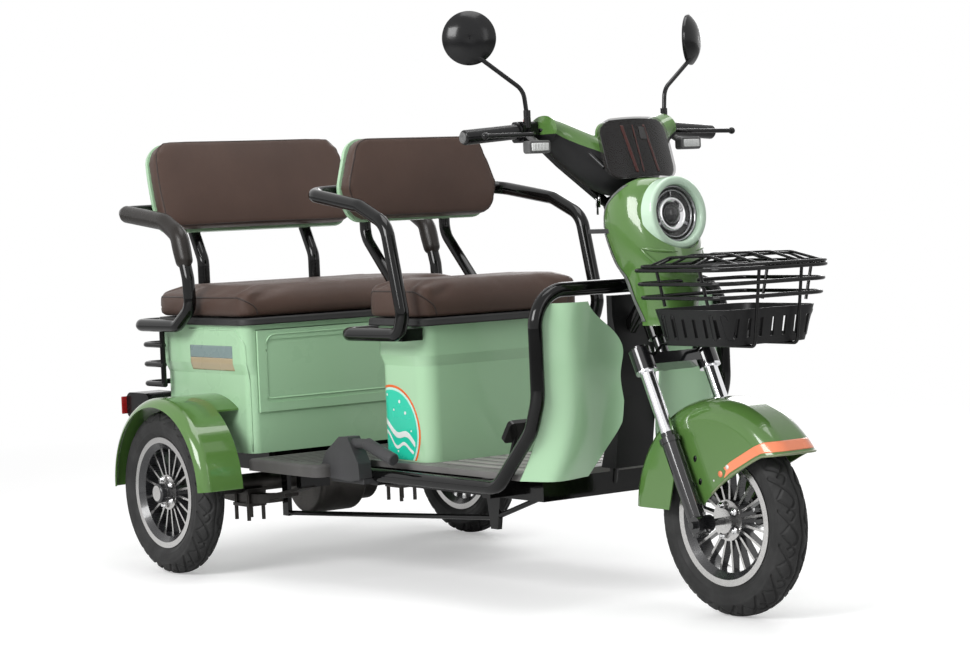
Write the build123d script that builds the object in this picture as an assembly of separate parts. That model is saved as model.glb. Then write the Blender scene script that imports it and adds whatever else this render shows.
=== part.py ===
"""Electric leisure tricycle with a driver's seat and a rear bench.

Units are millimetres.  Each piece is modelled with X forward, Y to the left and Z up from the ground,
measured from the point on the ground under the rear axle.  On export everything is moved along X so that
the origin lies under the middle of the vehicle's length.
"""

import math
import os

from build123d import *

# ---------------------------------------------------------------- wheels
WHEELBASE = 1582.0
REAR_TRACK = 916.0
TYRE_R = 206.0
TYRE_WIDTH = 80.0
RIM_LIP_R = 139.5
RIM_WALL = 4.0
RIM_WIDTH = 64.0
BEAD_DEPTH = 10.0
TREAD_ROUND = 9.0
TYRE_BELLY = 6.0
WELL_DEPTH = 24.0
WELL_SLOPE = 13.0
SPOKE_COUNT = 18
SPOKE_THICKNESS = 5.5
SPOKE_DEPTH = 16.0
HUB_R = 27.0
HUB_BARREL_R = 44.0
AXLE_R = 8.0
STUB_R = 14.0
RUNNING_GAP = 0.3
HUB_CAP_REACH = 51.0
HUB_CAP_LAP = 8.0

# ---------------------------------------------------------------- fork and steering head
RAKE = 25.3
FORK_OFFSET = 30.0
AXLE_LEAD = 9.4
CLAMP_Z = 535.0
FORK_HALF_SPAN = 91.0
FENDER_LUG_R = 9.0
FENDER_LUG_DOWN = [232.0, 296.0]
STANCHION_R = 15.5
LOWER_LEG_R = 20.0
LOWER_LEG_TOP = 190.0
CROWN_DEPTH = 48.0
CROWN_THICKNESS = 26.0
LEG_CLAMP_R = 24.0
STEM_R = 14.0
HEAD_TUBE_R = 22.0
HEAD_TUBE_LOW = 60.0
HEAD_TUBE_HIGH = 300.0
CLAMP_LENGTH = 40.0
CLAMP_R = 20.0

# ---------------------------------------------------------------- bars
BAR_R = 11.0
BAR_HALF = 358.0
BAR_AHEAD = 18.4
BAR_Z = 1050.0
BAR_RISE = 190.0
BAR_WING = 190.0
BAR_DROP = 8.0
GRIP_R = 16.5
GRIP_INNER = 214.0
GRIP_LIP = 2.0
CONTROL_WIDTH = 40.0
COVER_CLEARANCE = 1.0
COVER_HALF = 172.0
LEVER_R = 5.0
LEVER_REACH = 74.0
MIRROR_R = 59.0
MIRROR_DEPTH = 26.0
MIRROR_TOE = 35.0
MIRROR_RISE = 208.0
MIRROR_Y = 317.0
MIRROR_BASE = 34.0
MIRROR_LIP = 2.0
MIRROR_STEM_R = 5.0
SIGNAL_LENGTH = 60.0
SIGNAL_HEIGHT = 28.0
VISOR_HALF = 100.0
VISOR_HEIGHT = 138.0
VISOR_BOW_R = 230.0
VISOR_DROP = 41.0
BOX_HALF = 66.0
BOX_HEIGHT = 112.0
BOX_DEPTH = 90.0
BOX_CORNER = 24.0
VISOR_AHEAD = 176.0
VISOR_LEAN = 17.0
VISOR_CORNER = 36.0
VISOR_THICKNESS = 5.0
CABLE_R = 5.5

# ---------------------------------------------------------------- cowl and headlamp
COWL_HALF = 98.0
COWL_WALL = 4.0
COWL_BRACKET = 287.0
COWL_REAR_SHARE = 0.72
COWL_LEVELS = [
    (85.0, -60.0, 78.0, 66.0),
    (165.0, -80.0, 90.0, 76.0),
    (240.0, -96.0, 86.0, 93.0),
    (324.0, -110.0, 60.0, 98.0),
    (376.0, -90.0, 38.0, 86.0),
    (404.0, -50.0, 14.0, 50.0),
]
COWL_TRAIL = [
    (-14.0, 402.0),
    (-48.0, 377.0),
    (-90.0, 340.0),
    (-97.0, 300.0),
    (-66.0, 226.0),
    (-34.0, 190.0),
    (-22.0, 141.0),
    (2.0, 90.0),
    (2.0, -10.0),
]
LAMP_R = 80.0
LAMP_AHEAD = 34.0
LAMP_Z = 859.0
LAMP_TILT = 5.7
LENS_R = 62.0
RING_BEHIND = 6.0
RING_AHEAD = 28.0
RING_ROUND = 7.0
PROJECTOR_R = 30.0
BARREL_R = 94.0
BARREL_REACH = 96.0

# ---------------------------------------------------------------- basket
BASKET_HALF = 158.0
BASKET_AHEAD = 79.0
BASKET_LENGTH = 292.0
BASKET_BENDS = [30.0, 52.0]
BASKET_LOW = 585.0
BASKET_TRAY_TOP = 660.0
BASKET_TOP = 748.0
TRAY_WALL = 4.0
TRAY_INSET = 23.0
SLOT_WIDTH = 9.0
SLOT_LOW = 601.0
SLOT_HIGH = 640.0
SLOT_PITCH = 33.0
TRAY_SPREAD = 1.0
SIDE_RIBS = [84.0, 218.0]
RIB_END = 668.0
WIRE_R = 4.5
RIB_R = 3.5
RIB_Y = 60.0
RIB_LEAN = 4.0
RAIL_COUNT = 3
RAIL_STEP = 29.0
LID_R = 3.5
LID_SETBACK = 18.0
LID_RISE = 22.0
LID_BARS = 5
LID_ENDS = (62.0, 92.0)
LID_SHOULDER = 50.0

# ---------------------------------------------------------------- front fender
FRONT_FENDER_HALF = 69.0
FRONT_FENDER_R = 262.0
FRONT_FENDER_ROUND = 44.0
FRONT_FENDER_WALL = 3.0

# ---------------------------------------------------------------- chassis
TUBE_R = 16.0
RAIL_Y = 190.0
RAIL_Z = 261.0
RAIL_HEIGHT = 50.0
RAIL_WIDTH = 30.0
RAIL_REAR = -300.0
FLOOR_TOP = 300.0
FLOOR_THICKNESS = 14.0
FLOOR_HALF = 252.0
FLOOR_BEHIND = 36.0
RAIL_BEHIND = 42.0
GROOVE_DEPTH = 3.0
GROOVE_WIDTH = 7.0
GROOVE_PITCH = 30.0
GROOVE_MARGIN = 34.0
FOOT_LIP = 90.0
PANEL_HALF = 52.0
CABLE_PASS = 0.5
GUARD_HALF = 270.0
GUARD_BEHIND = 115.0
GUARD_FOOT = 158.0
GUARD_KNEE = 28.0
GUARD_KNEE_Z = 400.0
GUARD_SHIN_Z = 470.0
GUARD_ARM_BEHIND = 228.0
GUARD_RAIL_Z = 269.0
GUARD_TOP = 705.0
GUARD_BEND = 80.0
GUARD_FOOT_BENDS = [70.0, 90.0, 110.0]
SHIELD_WALL = 4.0
SHIELD_GAP = 1.0
SHIELD_FOOT_GAP = 60.0
SHIELD_TOP_DROP = 28.0
COLUMN_RISE = 60.0
COLUMN_BEHIND = 24.0
HEAD_BRACE = 150.0
OUTRIGGER_STEP = 6.0
HANGER_HALF = 10.0
LINK_R = 6.0
LINK_BEHIND = 60.0
LINK_DROP = 50.0
LINK_PLATE = 26.0
PEDAL_X = 1052.0

# ---------------------------------------------------------------- driver's seat
SEAT_HALF = 244.0
SEAT_REAR = 566.0
SEAT_LENGTH = 240.0
SEAT_BOX_INSET = 16.0
SEAT_BOX_TOP = 620.0
SEAT_BOX_CORNER = 40.0
SHOULDER_LOW = 70.0
SHOULDER_HIGH = 95.0
SHOULDER = 7.0
PANEL = 4.0
SEAT_STRIP = 16.0
SEAT_TOP = 722.0
SEAT_CORNER = 36.0
SEAT_ROUND = 20.0
SEAT_BACK_LOW = (514.0, 872.0)
SEAT_BACK_TOP = (486.0, 1074.0)
SEAT_BACK_HALF = 232.0
SEAT_BACK_OUTLINE = [(0.86, 0.0, 45.0), (1.0, 0.36, 80.0), (0.8, 1.0, 50.0)]
PAD_THICKNESS = 46.0
SHELL_THICKNESS = 22.0
SHELL_ROUND = 14.0
SHELL_INSET = 4.0
DRIVER_ARM_HALF = 290.0
BATTERY_HEIGHT = 190.0
BATTERY_HALF = 170.0
BATTERY_INSET = 40.0
ARM_LOW = 602.0
ARM_BACK_Z = 944.0
BACK_GAP = 18.0
POST_Y = 120.0

# ---------------------------------------------------------------- rear bench and storage box
BENCH_HALF = 360.0
BENCH_REAR = -238.0
BENCH_FRONT = 205.0
BENCH_BOX_INSET = 12.0
BENCH_BOX_LOW = 300.0
BENCH_BOX_TOP = 620.0
BENCH_BOX_CORNER = 26.0
FLARE = 9.0
FLARE_LOW = 124.0
FLARE_HIGH = 97.0
BENCH_TOP = 712.0
BENCH_BACK_LOW = (-252.0, 868.0)
BENCH_BACK_TOP = (-322.0, 1103.0)
BENCH_BACK_HALF = 304.0
BENCH_BACK_OUTLINE = [(0.98, 0.0, 34.0), (1.0, 0.5, 900.0), (0.96, 1.0, 62.0)]
DOOR_HALF = 316.0
DOOR_LOW = 400.0
DOOR_TOP = 608.0
DOOR_GAP = 2.0
DOOR_THICKNESS = 8.0
DOOR_FRAME = 24.0
DOOR_RELIEF = 2.0
BENCH_ARM_HALF = 386.0
BENCH_ARM_TOP = [(-4.0, 740.0), (-40.0, 850.0), (-110.0, 885.0), (-352.0, 914.0)]
BENCH_ARM_BENDS = [40.0, 60.0]
ARM_PAD_HALF = 19.5
ARM_PAD_HEIGHT = 23.0
BENCH_POST_Y = 175.0
POST_BEND_BELOW = 90.0
BENCH_POST_GAP = 30.0
BENCH_ARM_LOW = 618.0
HOOP_R = 7.0
HOOP_TOP = 566.0
HOOP_STEP = 51.0
HOOP_COUNT = 3
HOOP_FRONT = -170.0
ARM_PAD_START = 0.24
ARM_PAD_END = 0.84
STEP_HALF = 360.0
STEP_FRONT = 516.0
STEP_TOP = 292.0
STEP_THICKNESS = 30.0
STEP_CORNER = 30.0
STEP_EDGE = 8.0
TAIL_Z = 406.0
TAIL_HALF_HEIGHT = 34.0
TAIL_REACH = 107.0
TAIL_GAP = 8.0
TAIL_WIDTH = 86.0
TAIL_CORNER = 25.0

# ---------------------------------------------------------------- rear axle, springs and fenders
AXLE_TUBE_R = 24.0
SPRING_SEAT = 2.0
MOTOR_R = 92.0
MOTOR_HALF = 70.0
MOTOR_DROP = 6.0
MOTOR_ROUND = 12.0
CASING_R = 70.0
DRUM_R = 58.0
DRUM_WIDTH = 18.0
DRUM_GAP = 8.0
SPRING_Y = 238.0
SPRING_WIDTH = 44.0
SPRING_REACH = 285.0
SPRING_SAG = 40.0
LEAF = 8.0
LEAF_WIDTH = 40.0
U_BOLT_X = 30.0
SEAT_PAD = 14.0
LEAF_SHARES = [1.0, 0.72, 0.46]
U_BOLT_R = 5.0
U_BOLT_LOW = 112.0
FENDER_R = 230.0
FENDER_X = 14.0
FENDER_Z = 216.0
FENDER_INSIDE = 56.0
FENDER_OUTSIDE = 62.0
FENDER_WALL = 4.0
FENDER_ROUND = 30.0
FENDER_LIP = 22.0
FENDER_FRONT_LOW = 20.0
FENDER_REAR_LOW = 4.0
BRIDGE = 120.0

# ---------------------------------------------------------------- hand brake and pedal
HAND_BRAKE_BEHIND = 108.0
HAND_BRAKE_Y = 304.0
HAND_BRAKE_HALF = 18.0
PEDAL_Y = 165.0
PEDAL_Z = 384.0

# ---------------------------------------------------------------- derived places
SIN_RAKE = math.sin(math.radians(RAKE))
COS_RAKE = math.cos(math.radians(RAKE))
AXLE_AHEAD = FORK_OFFSET + AXLE_LEAD
AXLE_DOWN = (CLAMP_Z - TYRE_R + AXLE_AHEAD * SIN_RAKE) / COS_RAKE
STEER_X_AT_CLAMP = WHEELBASE - AXLE_DOWN * SIN_RAKE - AXLE_AHEAD * COS_RAKE
STEM_TOP = (BAR_Z - BAR_RISE - CLAMP_Z) / COS_RAKE
BAR_X = STEER_X_AT_CLAMP - (BAR_Z - CLAMP_Z) * SIN_RAKE / COS_RAKE + BAR_AHEAD
LAMP_CENTRE = (STEER_X_AT_CLAMP + LAMP_AHEAD, LAMP_Z)
BASKET_BACK = STEER_X_AT_CLAMP + BASKET_AHEAD
BASKET_FRONT = BASKET_BACK + BASKET_LENGTH
GUARD_X = STEER_X_AT_CLAMP - GUARD_BEHIND
FLOOR_FRONT = GUARD_X - FLOOR_BEHIND
RAIL_FRONT = FLOOR_FRONT - RAIL_BEHIND
SEAT_FRONT = SEAT_REAR + SEAT_LENGTH
SEAT_BOX_REAR = SEAT_REAR + SEAT_BOX_INSET
SEAT_BOX_FRONT = SEAT_FRONT - SEAT_BOX_INSET
SEAT_BOX_HALF = SEAT_HALF - SEAT_BOX_INSET
BENCH_BOX_REAR = BENCH_REAR + BENCH_BOX_INSET
BENCH_BOX_FRONT = BENCH_FRONT - BENCH_BOX_INSET
BENCH_BOX_HALF = BENCH_HALF - BENCH_BOX_INSET
FENDER_INNER = REAR_TRACK / 2 - FENDER_INSIDE
FENDER_OUTER = REAR_TRACK / 2 + FENDER_OUTSIDE
SPRING_TOP = TYRE_R - AXLE_TUBE_R - SPRING_SEAT
FRONT_END = WHEELBASE + TYRE_R
BACK_TILT = math.atan2(BENCH_BACK_LOW[0] - BENCH_BACK_TOP[0], BENCH_BACK_TOP[1] - BENCH_BACK_LOW[1])
REAR_END = BENCH_BACK_TOP[0] - (PAD_THICKNESS + SHELL_THICKNESS) * math.cos(BACK_TILT)
MIDDLE_X = (FRONT_END + REAR_END) / 2


# ================================================================ helpers
def block(x0, x1, y0, y1, z0, z1):
    """Box between two corners."""
    size = Box(x1 - x0, y1 - y0, z1 - z0, align=(Align.MIN, Align.MIN, Align.MIN))
    return Pos(x0, y0, z0) * size


def rod(start, end, radius):
    """Round bar from one point to another."""
    a = Vector(*start)
    b = Vector(*end)
    return Solid.make_cylinder(radius, (b - a).length, Plane(origin=a, z_dir=b - a))


def cross_rod(centre, half, radius):
    """Round bar across the vehicle, to both sides of the centre."""
    x, y, z = centre
    return rod((x, y - half, z), (x, y + half, z), radius)


def bent_bar(points, bends, radius):
    """Round bar along straight runs joined by arcs."""
    path = FilletPolyline(*points, radius=bends)
    section = Plane(origin=path @ 0, z_dir=path % 0) * Circle(radius)
    return sweep(section, path=path)


def mirrored(shape):
    """Copy on the vehicle's other side."""
    return shape.mirror(Plane.XZ)


def both_sides(shape):
    """The shape and its mirror image as one."""
    return shape + mirrored(shape)


def joined(shapes):
    """All shapes fused."""
    result = shapes[0]
    for shape in shapes[1:]:
        result = result + shape
    return result


def side_profile(points, y0, y1):
    """Straight-sided outline in the X-Z plane, extruded across the vehicle."""
    face = make_face(Polyline(*[(x, 0, z) for x, z in points], close=True))
    return Pos(0, y0, 0) * extrude(face, amount=y1 - y0, dir=(0, 1, 0))


def front_profile(points, x0, x1):
    """Straight-sided outline in the Y-Z plane, extruded along the vehicle."""
    face = make_face(Polyline(*[(0, y, z) for y, z in points], close=True))
    return Pos(x0, 0, 0) * extrude(face, amount=x1 - x0, dir=(1, 0, 0))


def turned(profile, centre):
    """Ring from an (axial, radial) outline turned about a line along Y through the centre."""
    points = [(centre[0], centre[1] + axial, centre[2] + radial) for axial, radial in profile]
    face = make_face(Polyline(*points, close=True))
    return revolve(face, Axis(centre, (0, 1, 0)))


def steer_point(down, y=0.0, ahead=0.0):
    """Point on the steering axis, measured down from the lower clamp, then ahead of the axis."""
    x = STEER_X_AT_CLAMP + SIN_RAKE * down + COS_RAKE * ahead
    z = CLAMP_Z - COS_RAKE * down + SIN_RAKE * ahead
    return (x, y, z)


def head_points(points):
    """Side outline given ahead of and above the steering axis at the lower clamp."""
    return [(STEER_X_AT_CLAMP + ahead, CLAMP_Z + above) for ahead, above in points]


def lamp_disc(radius, start, end):
    """Round solid on the headlamp's axis, between two distances from the lamp's centre."""
    return Solid.make_cylinder(radius, end - start, lamp_plane(start))


def lamp_plane(ahead):
    """Plane across the headlamp's axis."""
    tilt = math.radians(LAMP_TILT)
    x = LAMP_CENTRE[0] + ahead * math.cos(tilt)
    z = LAMP_CENTRE[1] + ahead * math.sin(tilt)
    return Plane(origin=(x, 0, z), x_dir=(0, 1, 0), z_dir=(math.cos(tilt), 0, math.sin(tilt)))


# ================================================================ wheels
def tyre(centre):
    """Tyre whose cross-section is a smooth curve from bead to bead."""
    half = TYRE_WIDTH / 2
    tread = TYRE_R - TREAD_ROUND
    bead = RIM_LIP_R - BEAD_DEPTH
    seat = RIM_WIDTH / 2 - RIM_WALL
    widest = (bead + tread) / 2 + TYRE_BELLY
    outline = [
        (-seat, RIM_LIP_R + RUNNING_GAP),
        (-half, widest),
        (-half + TREAD_ROUND, tread - TREAD_ROUND),
        (0, TYRE_R),
        (half - TREAD_ROUND, tread - TREAD_ROUND),
        (half, widest),
        (seat, RIM_LIP_R + RUNNING_GAP),
    ]
    outer = [(centre[0], centre[1] + axial, centre[2] + radial) for axial, radial in outline]
    inner_right = (centre[0], centre[1] - seat, centre[2] + bead)
    inner_left = (centre[0], centre[1] + seat, centre[2] + bead)
    walls = Polyline(outer[-1], inner_left, inner_right, outer[0])
    face = make_face([Spline(*outer), walls])
    return revolve(face, Axis(centre, (0, 1, 0)))


def rim(centre, bore_r):
    """Cast wheel: drop-centre hoop, thin spokes and a stepped hub."""
    half = RIM_WIDTH / 2
    well = RIM_LIP_R - WELL_DEPTH
    seat = RIM_LIP_R - BEAD_DEPTH
    slope = half - WELL_SLOPE
    hoop = turned(
        [
            (-half, RIM_LIP_R),
            (-half, seat - RIM_WALL),
            (-slope, well - RIM_WALL),
            (slope, well - RIM_WALL),
            (half, seat - RIM_WALL),
            (half, RIM_LIP_R),
            (half - RIM_WALL, RIM_LIP_R),
            (half - RIM_WALL, seat),
            (slope, well),
            (-slope, well),
            (-half + RIM_WALL, seat),
            (-half + RIM_WALL, RIM_LIP_R),
        ],
        centre,
    )
    spokes = []
    for index in range(SPOKE_COUNT):
        inner = Pos(0, 0, HUB_R - RIM_WALL) * Rectangle(SPOKE_THICKNESS, SPOKE_DEPTH + 2 * RIM_WALL)
        outer = Pos(0, 0, well - RIM_WALL / 2) * Rectangle(SPOKE_THICKNESS, SPOKE_DEPTH)
        spokes.append(Pos(*centre) * Rot(0, 360 * index / SPOKE_COUNT, 0) * loft([inner, outer]))
    hub = cross_rod(centre, half, HUB_R)
    barrel = cross_rod(centre, slope, HUB_BARREL_R)
    wheel = hoop + joined(spokes) + hub + barrel
    return wheel - cross_rod(centre, half + 1, bore_r)


def front_tyre():
    return tyre((WHEELBASE, 0, TYRE_R))


def front_rim():
    return rim((WHEELBASE, 0, TYRE_R), AXLE_R + RUNNING_GAP)


def rear_tyre(side):
    return tyre((0, side * REAR_TRACK / 2, TYRE_R))


def rear_rim(side):
    """Rear wheel with its cap over the end of the stub axle."""
    wheel = rim((0, side * REAR_TRACK / 2, TYRE_R), STUB_R + RUNNING_GAP)
    start = side * (REAR_TRACK / 2 + RIM_WIDTH / 2 - HUB_CAP_LAP)
    end = side * (REAR_TRACK / 2 + HUB_CAP_REACH)
    cap = rod((0, start, TYRE_R), (0, end, TYRE_R), HUB_R - 2)
    return wheel + fillet(cap.faces().sort_by(Axis.Y)[0 if side < 0 else -1].edges(), HUB_CAP_LAP)


def rear_tyre_right():
    return rear_tyre(-1)


def rear_rim_right():
    return rear_rim(-1)


def rear_tyre_left():
    return rear_tyre(1)


def rear_rim_left():
    return rear_rim(1)


# ================================================================ chassis
def steering_head():
    """Head tube on its down tube, bored for the steering stem."""
    low = steer_point(-HEAD_TUBE_LOW)
    high = steer_point(-HEAD_TUBE_HIGH)
    column_top = CLAMP_Z + COLUMN_RISE
    column = rod((RAIL_FRONT - RAIL_WIDTH / 2, 0, RAIL_Z), (GUARD_X - COLUMN_BEHIND, 0, column_top), TUBE_R)
    brace = rod((GUARD_X - COLUMN_BEHIND, 0, column_top - TUBE_R / 2), steer_point(-HEAD_BRACE), TUBE_R)
    return rod(low, high, HEAD_TUBE_R) + column + brace


def spring_hanger(x):
    """Plate under the rail that holds one end of a leaf spring."""
    low = SPRING_TOP + SPRING_SAG - LEAF
    y0 = RAIL_Y - RAIL_WIDTH / 2
    y1 = SPRING_Y + SPRING_WIDTH / 2
    plate = block(x - HANGER_HALF, x + HANGER_HALF, y0, y1, low, RAIL_Z - RAIL_HEIGHT / 2)
    shelf = block(x - HANGER_HALF, x + HANGER_HALF, y0, y1, RAIL_Z - RAIL_HEIGHT / 2, RAIL_Z)
    return plate + shelf


def brake_linkage():
    """Rods and lever plates under the rails that take the pedal's pull to the rear brakes."""
    y = -RAIL_Y
    low = RAIL_Z - RAIL_HEIGHT / 2
    pivot = (PEDAL_X - LINK_BEHIND, y, low - LINK_DROP)
    plate = side_profile(
        [
            (pivot[0] - LINK_PLATE, low + 1),
            (pivot[0] + LINK_PLATE, low + 1),
            (pivot[0] + LINK_PLATE / 2, pivot[2] - LINK_PLATE),
            (pivot[0] - LINK_PLATE / 2, pivot[2] - LINK_PLATE),
        ],
        y - LINK_R,
        y + LINK_R,
    )
    pull = rod(pivot, (MOTOR_R, y, SPRING_TOP - LINK_DROP), LINK_R)
    hanger_low = SPRING_TOP - LINK_DROP - LINK_R
    hanger = block(MOTOR_R, MOTOR_R + LINK_PLATE, y - LINK_R, y + LINK_R, hanger_low, low + 1)
    arm = rod(pivot, (RAIL_FRONT - RAIL_WIDTH, y, low + LINK_R), LINK_R)
    return plate + pull + hanger + arm


def main_frame():
    """Two rails with their crossmembers, outriggers, spring hangers and the steering head."""
    z0 = RAIL_Z - RAIL_HEIGHT / 2
    z1 = RAIL_Z + RAIL_HEIGHT / 2
    inner = RAIL_Y - RAIL_WIDTH / 2
    pieces = [both_sides(block(RAIL_REAR, RAIL_FRONT, inner, inner + RAIL_WIDTH, z0, z1))]
    members = [RAIL_REAR, BENCH_FRONT - RAIL_WIDTH, SEAT_REAR - RAIL_WIDTH, SEAT_FRONT + TUBE_R]
    for x in members + [RAIL_FRONT - RAIL_WIDTH]:
        pieces.append(block(x, x + RAIL_WIDTH, -RAIL_Y, RAIL_Y, z0, z1))
    reach = GUARD_HALF - TUBE_R / 2
    for x in (SEAT_REAR + RAIL_WIDTH, GUARD_X - GUARD_ARM_BEHIND):
        pieces.append(block(x, x + RAIL_WIDTH, -reach, reach, z0 + OUTRIGGER_STEP, z1))
    for x in (BENCH_BOX_REAR + RAIL_HEIGHT, BENCH_FRONT - 2 * RAIL_HEIGHT):
        pieces.append(block(x, x + RAIL_WIDTH, -SPRING_Y, SPRING_Y, z1 - OUTRIGGER_STEP, BENCH_BOX_LOW))
    for x in (-SPRING_REACH + HANGER_HALF, SPRING_REACH - HANGER_HALF):
        pieces.append(both_sides(spring_hanger(x)))
    pieces.append(steering_head())
    pieces.append(brake_linkage())
    low = steer_point(-HEAD_TUBE_LOW + 5)
    high = steer_point(-HEAD_TUBE_HIGH - 5)
    return joined(pieces) - rod(low, high, STEM_R + RUNNING_GAP)


def leg_guard():
    """Bent tube along the floor's edges and up round the leg shields, closed across the top."""
    foot = GUARD_X - GUARD_FOOT
    right = [
        (SEAT_REAR, -GUARD_HALF, GUARD_RAIL_Z),
        (foot, -GUARD_HALF, GUARD_RAIL_Z),
        (GUARD_X - GUARD_KNEE, -GUARD_HALF, GUARD_KNEE_Z),
        (GUARD_X, -GUARD_HALF, GUARD_SHIN_Z),
        (GUARD_X, -GUARD_HALF, GUARD_TOP),
    ]
    left = [(x, -y, z) for x, y, z in reversed(right)]
    bends = GUARD_FOOT_BENDS + [GUARD_BEND]
    return bent_bar(right + left, bends + bends[::-1], TUBE_R)


def shield_section(z, side, fold, inner):
    """Plan of one leg shield at a height: side return, rounded fold and front face, one wall thick."""
    outer_y = GUARD_HALF - TUBE_R - SHIELD_GAP
    fold_x, fold_y = fold
    inner_x, inner_y = inner
    front = [
        (GUARD_X + side, -outer_y, z),
        (GUARD_X + (side + 3 * fold_x) / 4, -(outer_y + 2 * fold_y) / 3, z),
        (GUARD_X + fold_x, -fold_y, z),
        (GUARD_X + (fold_x + inner_x) / 2 - SHIELD_WALL, -(fold_y + inner_y) / 2, z),
        (GUARD_X + inner_x, -inner_y, z),
    ]
    back = [(x - SHIELD_WALL, y + SHIELD_WALL * 0.4, z) for x, y, z in front]
    edges = [Spline(*front), Line(front[-1], back[-1]), Spline(*back[::-1]), Line(back[0], front[0])]
    return make_face(edges)


def leg_shield():
    """One shield, lofted up from its foot, with its inner edge and top cut to a flowing line."""
    foot = FLOOR_TOP - FLOOR_THICKNESS
    sections = [
        shield_section(foot, -GUARD_FOOT + SHIELD_FOOT_GAP, (-28.0, 222.0), (-33.0, 50.0)),
        shield_section(foot + 94, -36.0, (13.0, 210.0), (10.0, 50.0)),
        shield_section(foot + 184, -6.0, (29.0, 205.0), (27.0, 50.0)),
        shield_section(foot + 334, -6.0, (29.0, 205.0), (30.0, 50.0)),
        shield_section(GUARD_TOP, -6.0, (42.0, 198.0), (44.0, 50.0)),
    ]
    panel = loft(sections)
    top = GUARD_TOP - SHIELD_TOP_DROP
    edge = Spline(
        (0, -150, top),
        (0, -104, top - 42),
        (0, -64, top - 76),
        (0, -51, top - 106),
        (0, -57, top - 160),
        (0, -48, top - 258),
        (0, -70, top - 322),
        (0, -104, foot - 1),
    )
    past = top + 40
    rest = Polyline((0, -104, foot - 1), (0, 0, foot - 1), (0, 0, past), (0, -300, past), (0, -300, top))
    lid = Line((0, -300, top), (0, -150, top))
    cutter = Pos(GUARD_X - 200, 0, 0) * extrude(make_face([edge, rest, lid]), amount=400, dir=(1, 0, 0))
    return panel - cutter


def leg_shields():
    return both_sides(leg_shield())


def column_cover():
    """Panel between the two leg shields that hides the column."""
    face = GUARD_X + 16
    top = GUARD_TOP - 21
    panel = side_profile(
        [
            (GUARD_X - 10, FLOOR_TOP),
            (face, FLOOR_TOP + 160),
            (face, FLOOR_TOP + 260),
            (GUARD_X - 2, top - 44),
            (GUARD_X - 2, top),
            (GUARD_X - 20, top),
            (GUARD_X - 20, FLOOR_TOP + 120),
            (GUARD_X - 60, FLOOR_TOP),
        ],
        -PANEL_HALF,
        PANEL_HALF,
    )
    column_top = CLAMP_Z + COLUMN_RISE
    column_x = GUARD_X - COLUMN_BEHIND
    pass_r = TUBE_R + CABLE_PASS
    column = rod((RAIL_FRONT - RAIL_WIDTH / 2, 0, RAIL_Z), (column_x, 0, column_top), pass_r)
    brace = rod((column_x, 0, column_top - TUBE_R / 2), steer_point(-HEAD_BRACE), pass_r)
    stem = rod(steer_point(40), steer_point(-HEAD_TUBE_HIGH - 5), HEAD_TUBE_R + CABLE_PASS)
    return panel - column - brace - stem


def front_floorboard():
    """Floor from the driver's seat to the column, with its tread grooves running lengthwise."""
    rear = SEAT_REAR + 20
    front = FLOOR_FRONT - RAIL_BEHIND
    board = block(rear, front, -FLOOR_HALF, FLOOR_HALF, FLOOR_TOP - FLOOR_THICKNESS, FLOOR_TOP)
    corners = board.edges().filter_by(Axis.Z).sort_by(Axis.X)[-2:]
    board = fillet(corners, STEP_CORNER)
    count = int((2 * FLOOR_HALF - 2 * GROOVE_MARGIN) / GROOVE_PITCH)
    grooves = []
    for index in range(count + 1):
        y = (index - count / 2) * GROOVE_PITCH
        side = GROOVE_WIDTH / 2
        low = FLOOR_TOP - GROOVE_DEPTH
        groove = block(SEAT_FRONT + GROOVE_MARGIN, front - FOOT_LIP, y - side, y + side, low, FLOOR_TOP + 1)
        grooves.append(groove)
    return board - joined(grooves)


def rear_step():
    """Moulded step across the chassis, rounded at its front corners and edge, ribbed on top."""
    rear = BENCH_FRONT + 2
    board = block(rear, STEP_FRONT, -STEP_HALF, STEP_HALF, STEP_TOP - STEP_THICKNESS, STEP_TOP)
    corners = board.edges().filter_by(Axis.Z).sort_by(Axis.X)[-2:]
    board = fillet(corners, STEP_CORNER)
    rim_edges = board.faces().sort_by(Axis.Z)[-1].edges()
    board = fillet(rim_edges, STEP_EDGE)
    count = int((STEP_FRONT - rear - 2 * GROOVE_MARGIN) / GROOVE_PITCH)
    middle = (rear + STEP_FRONT) / 2
    side = STEP_HALF - GROOVE_MARGIN
    grooves = []
    for index in range(count + 1):
        x = middle + (index - count / 2) * GROOVE_PITCH
        x0 = x - GROOVE_WIDTH / 2
        grooves.append(block(x0, x0 + GROOVE_WIDTH, -side, side, STEP_TOP - GROOVE_DEPTH, STEP_TOP + 1))
    return board - joined(grooves)


# ================================================================ driver's seat
def box_section(z, x0, x1, half, corner):
    """Rounded plan of a box at one height."""
    return Pos((x0 + x1) / 2, 0, z) * RectangleRounded(x1 - x0, 2 * half, corner)


def flared_box(sections, wall, corner):
    """Thin-walled box with no lid, through plans given as (z, rear, front, half), low to high."""
    outer = loft([box_section(z, x0, x1, half, corner) for z, x0, x1, half in sections], ruled=True)
    rings = []
    for index, (z, x0, x1, half) in enumerate(sections):
        level = z
        if index == 0:
            level = z + wall
        if index == len(sections) - 1:
            level = z + 1
        rings.append(box_section(level, x0 + wall, x1 - wall, half - wall, corner - wall))
    return outer - loft(rings, ruled=True)


def front_seat_box():
    """Seat box whose lower part is set in below a soft shoulder."""
    rear = SEAT_BOX_REAR
    front = SEAT_BOX_FRONT
    half = SEAT_BOX_HALF
    sections = [
        (FLOOR_TOP, rear + SHOULDER, front - SHOULDER, half - SHOULDER),
        (SEAT_BOX_TOP - SHOULDER_HIGH, rear + SHOULDER, front - SHOULDER, half - SHOULDER),
        (SEAT_BOX_TOP - SHOULDER_LOW, rear, front, half),
        (SEAT_BOX_TOP, rear, front, half),
    ]
    return flared_box(sections, PANEL, SEAT_BOX_CORNER)


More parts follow.
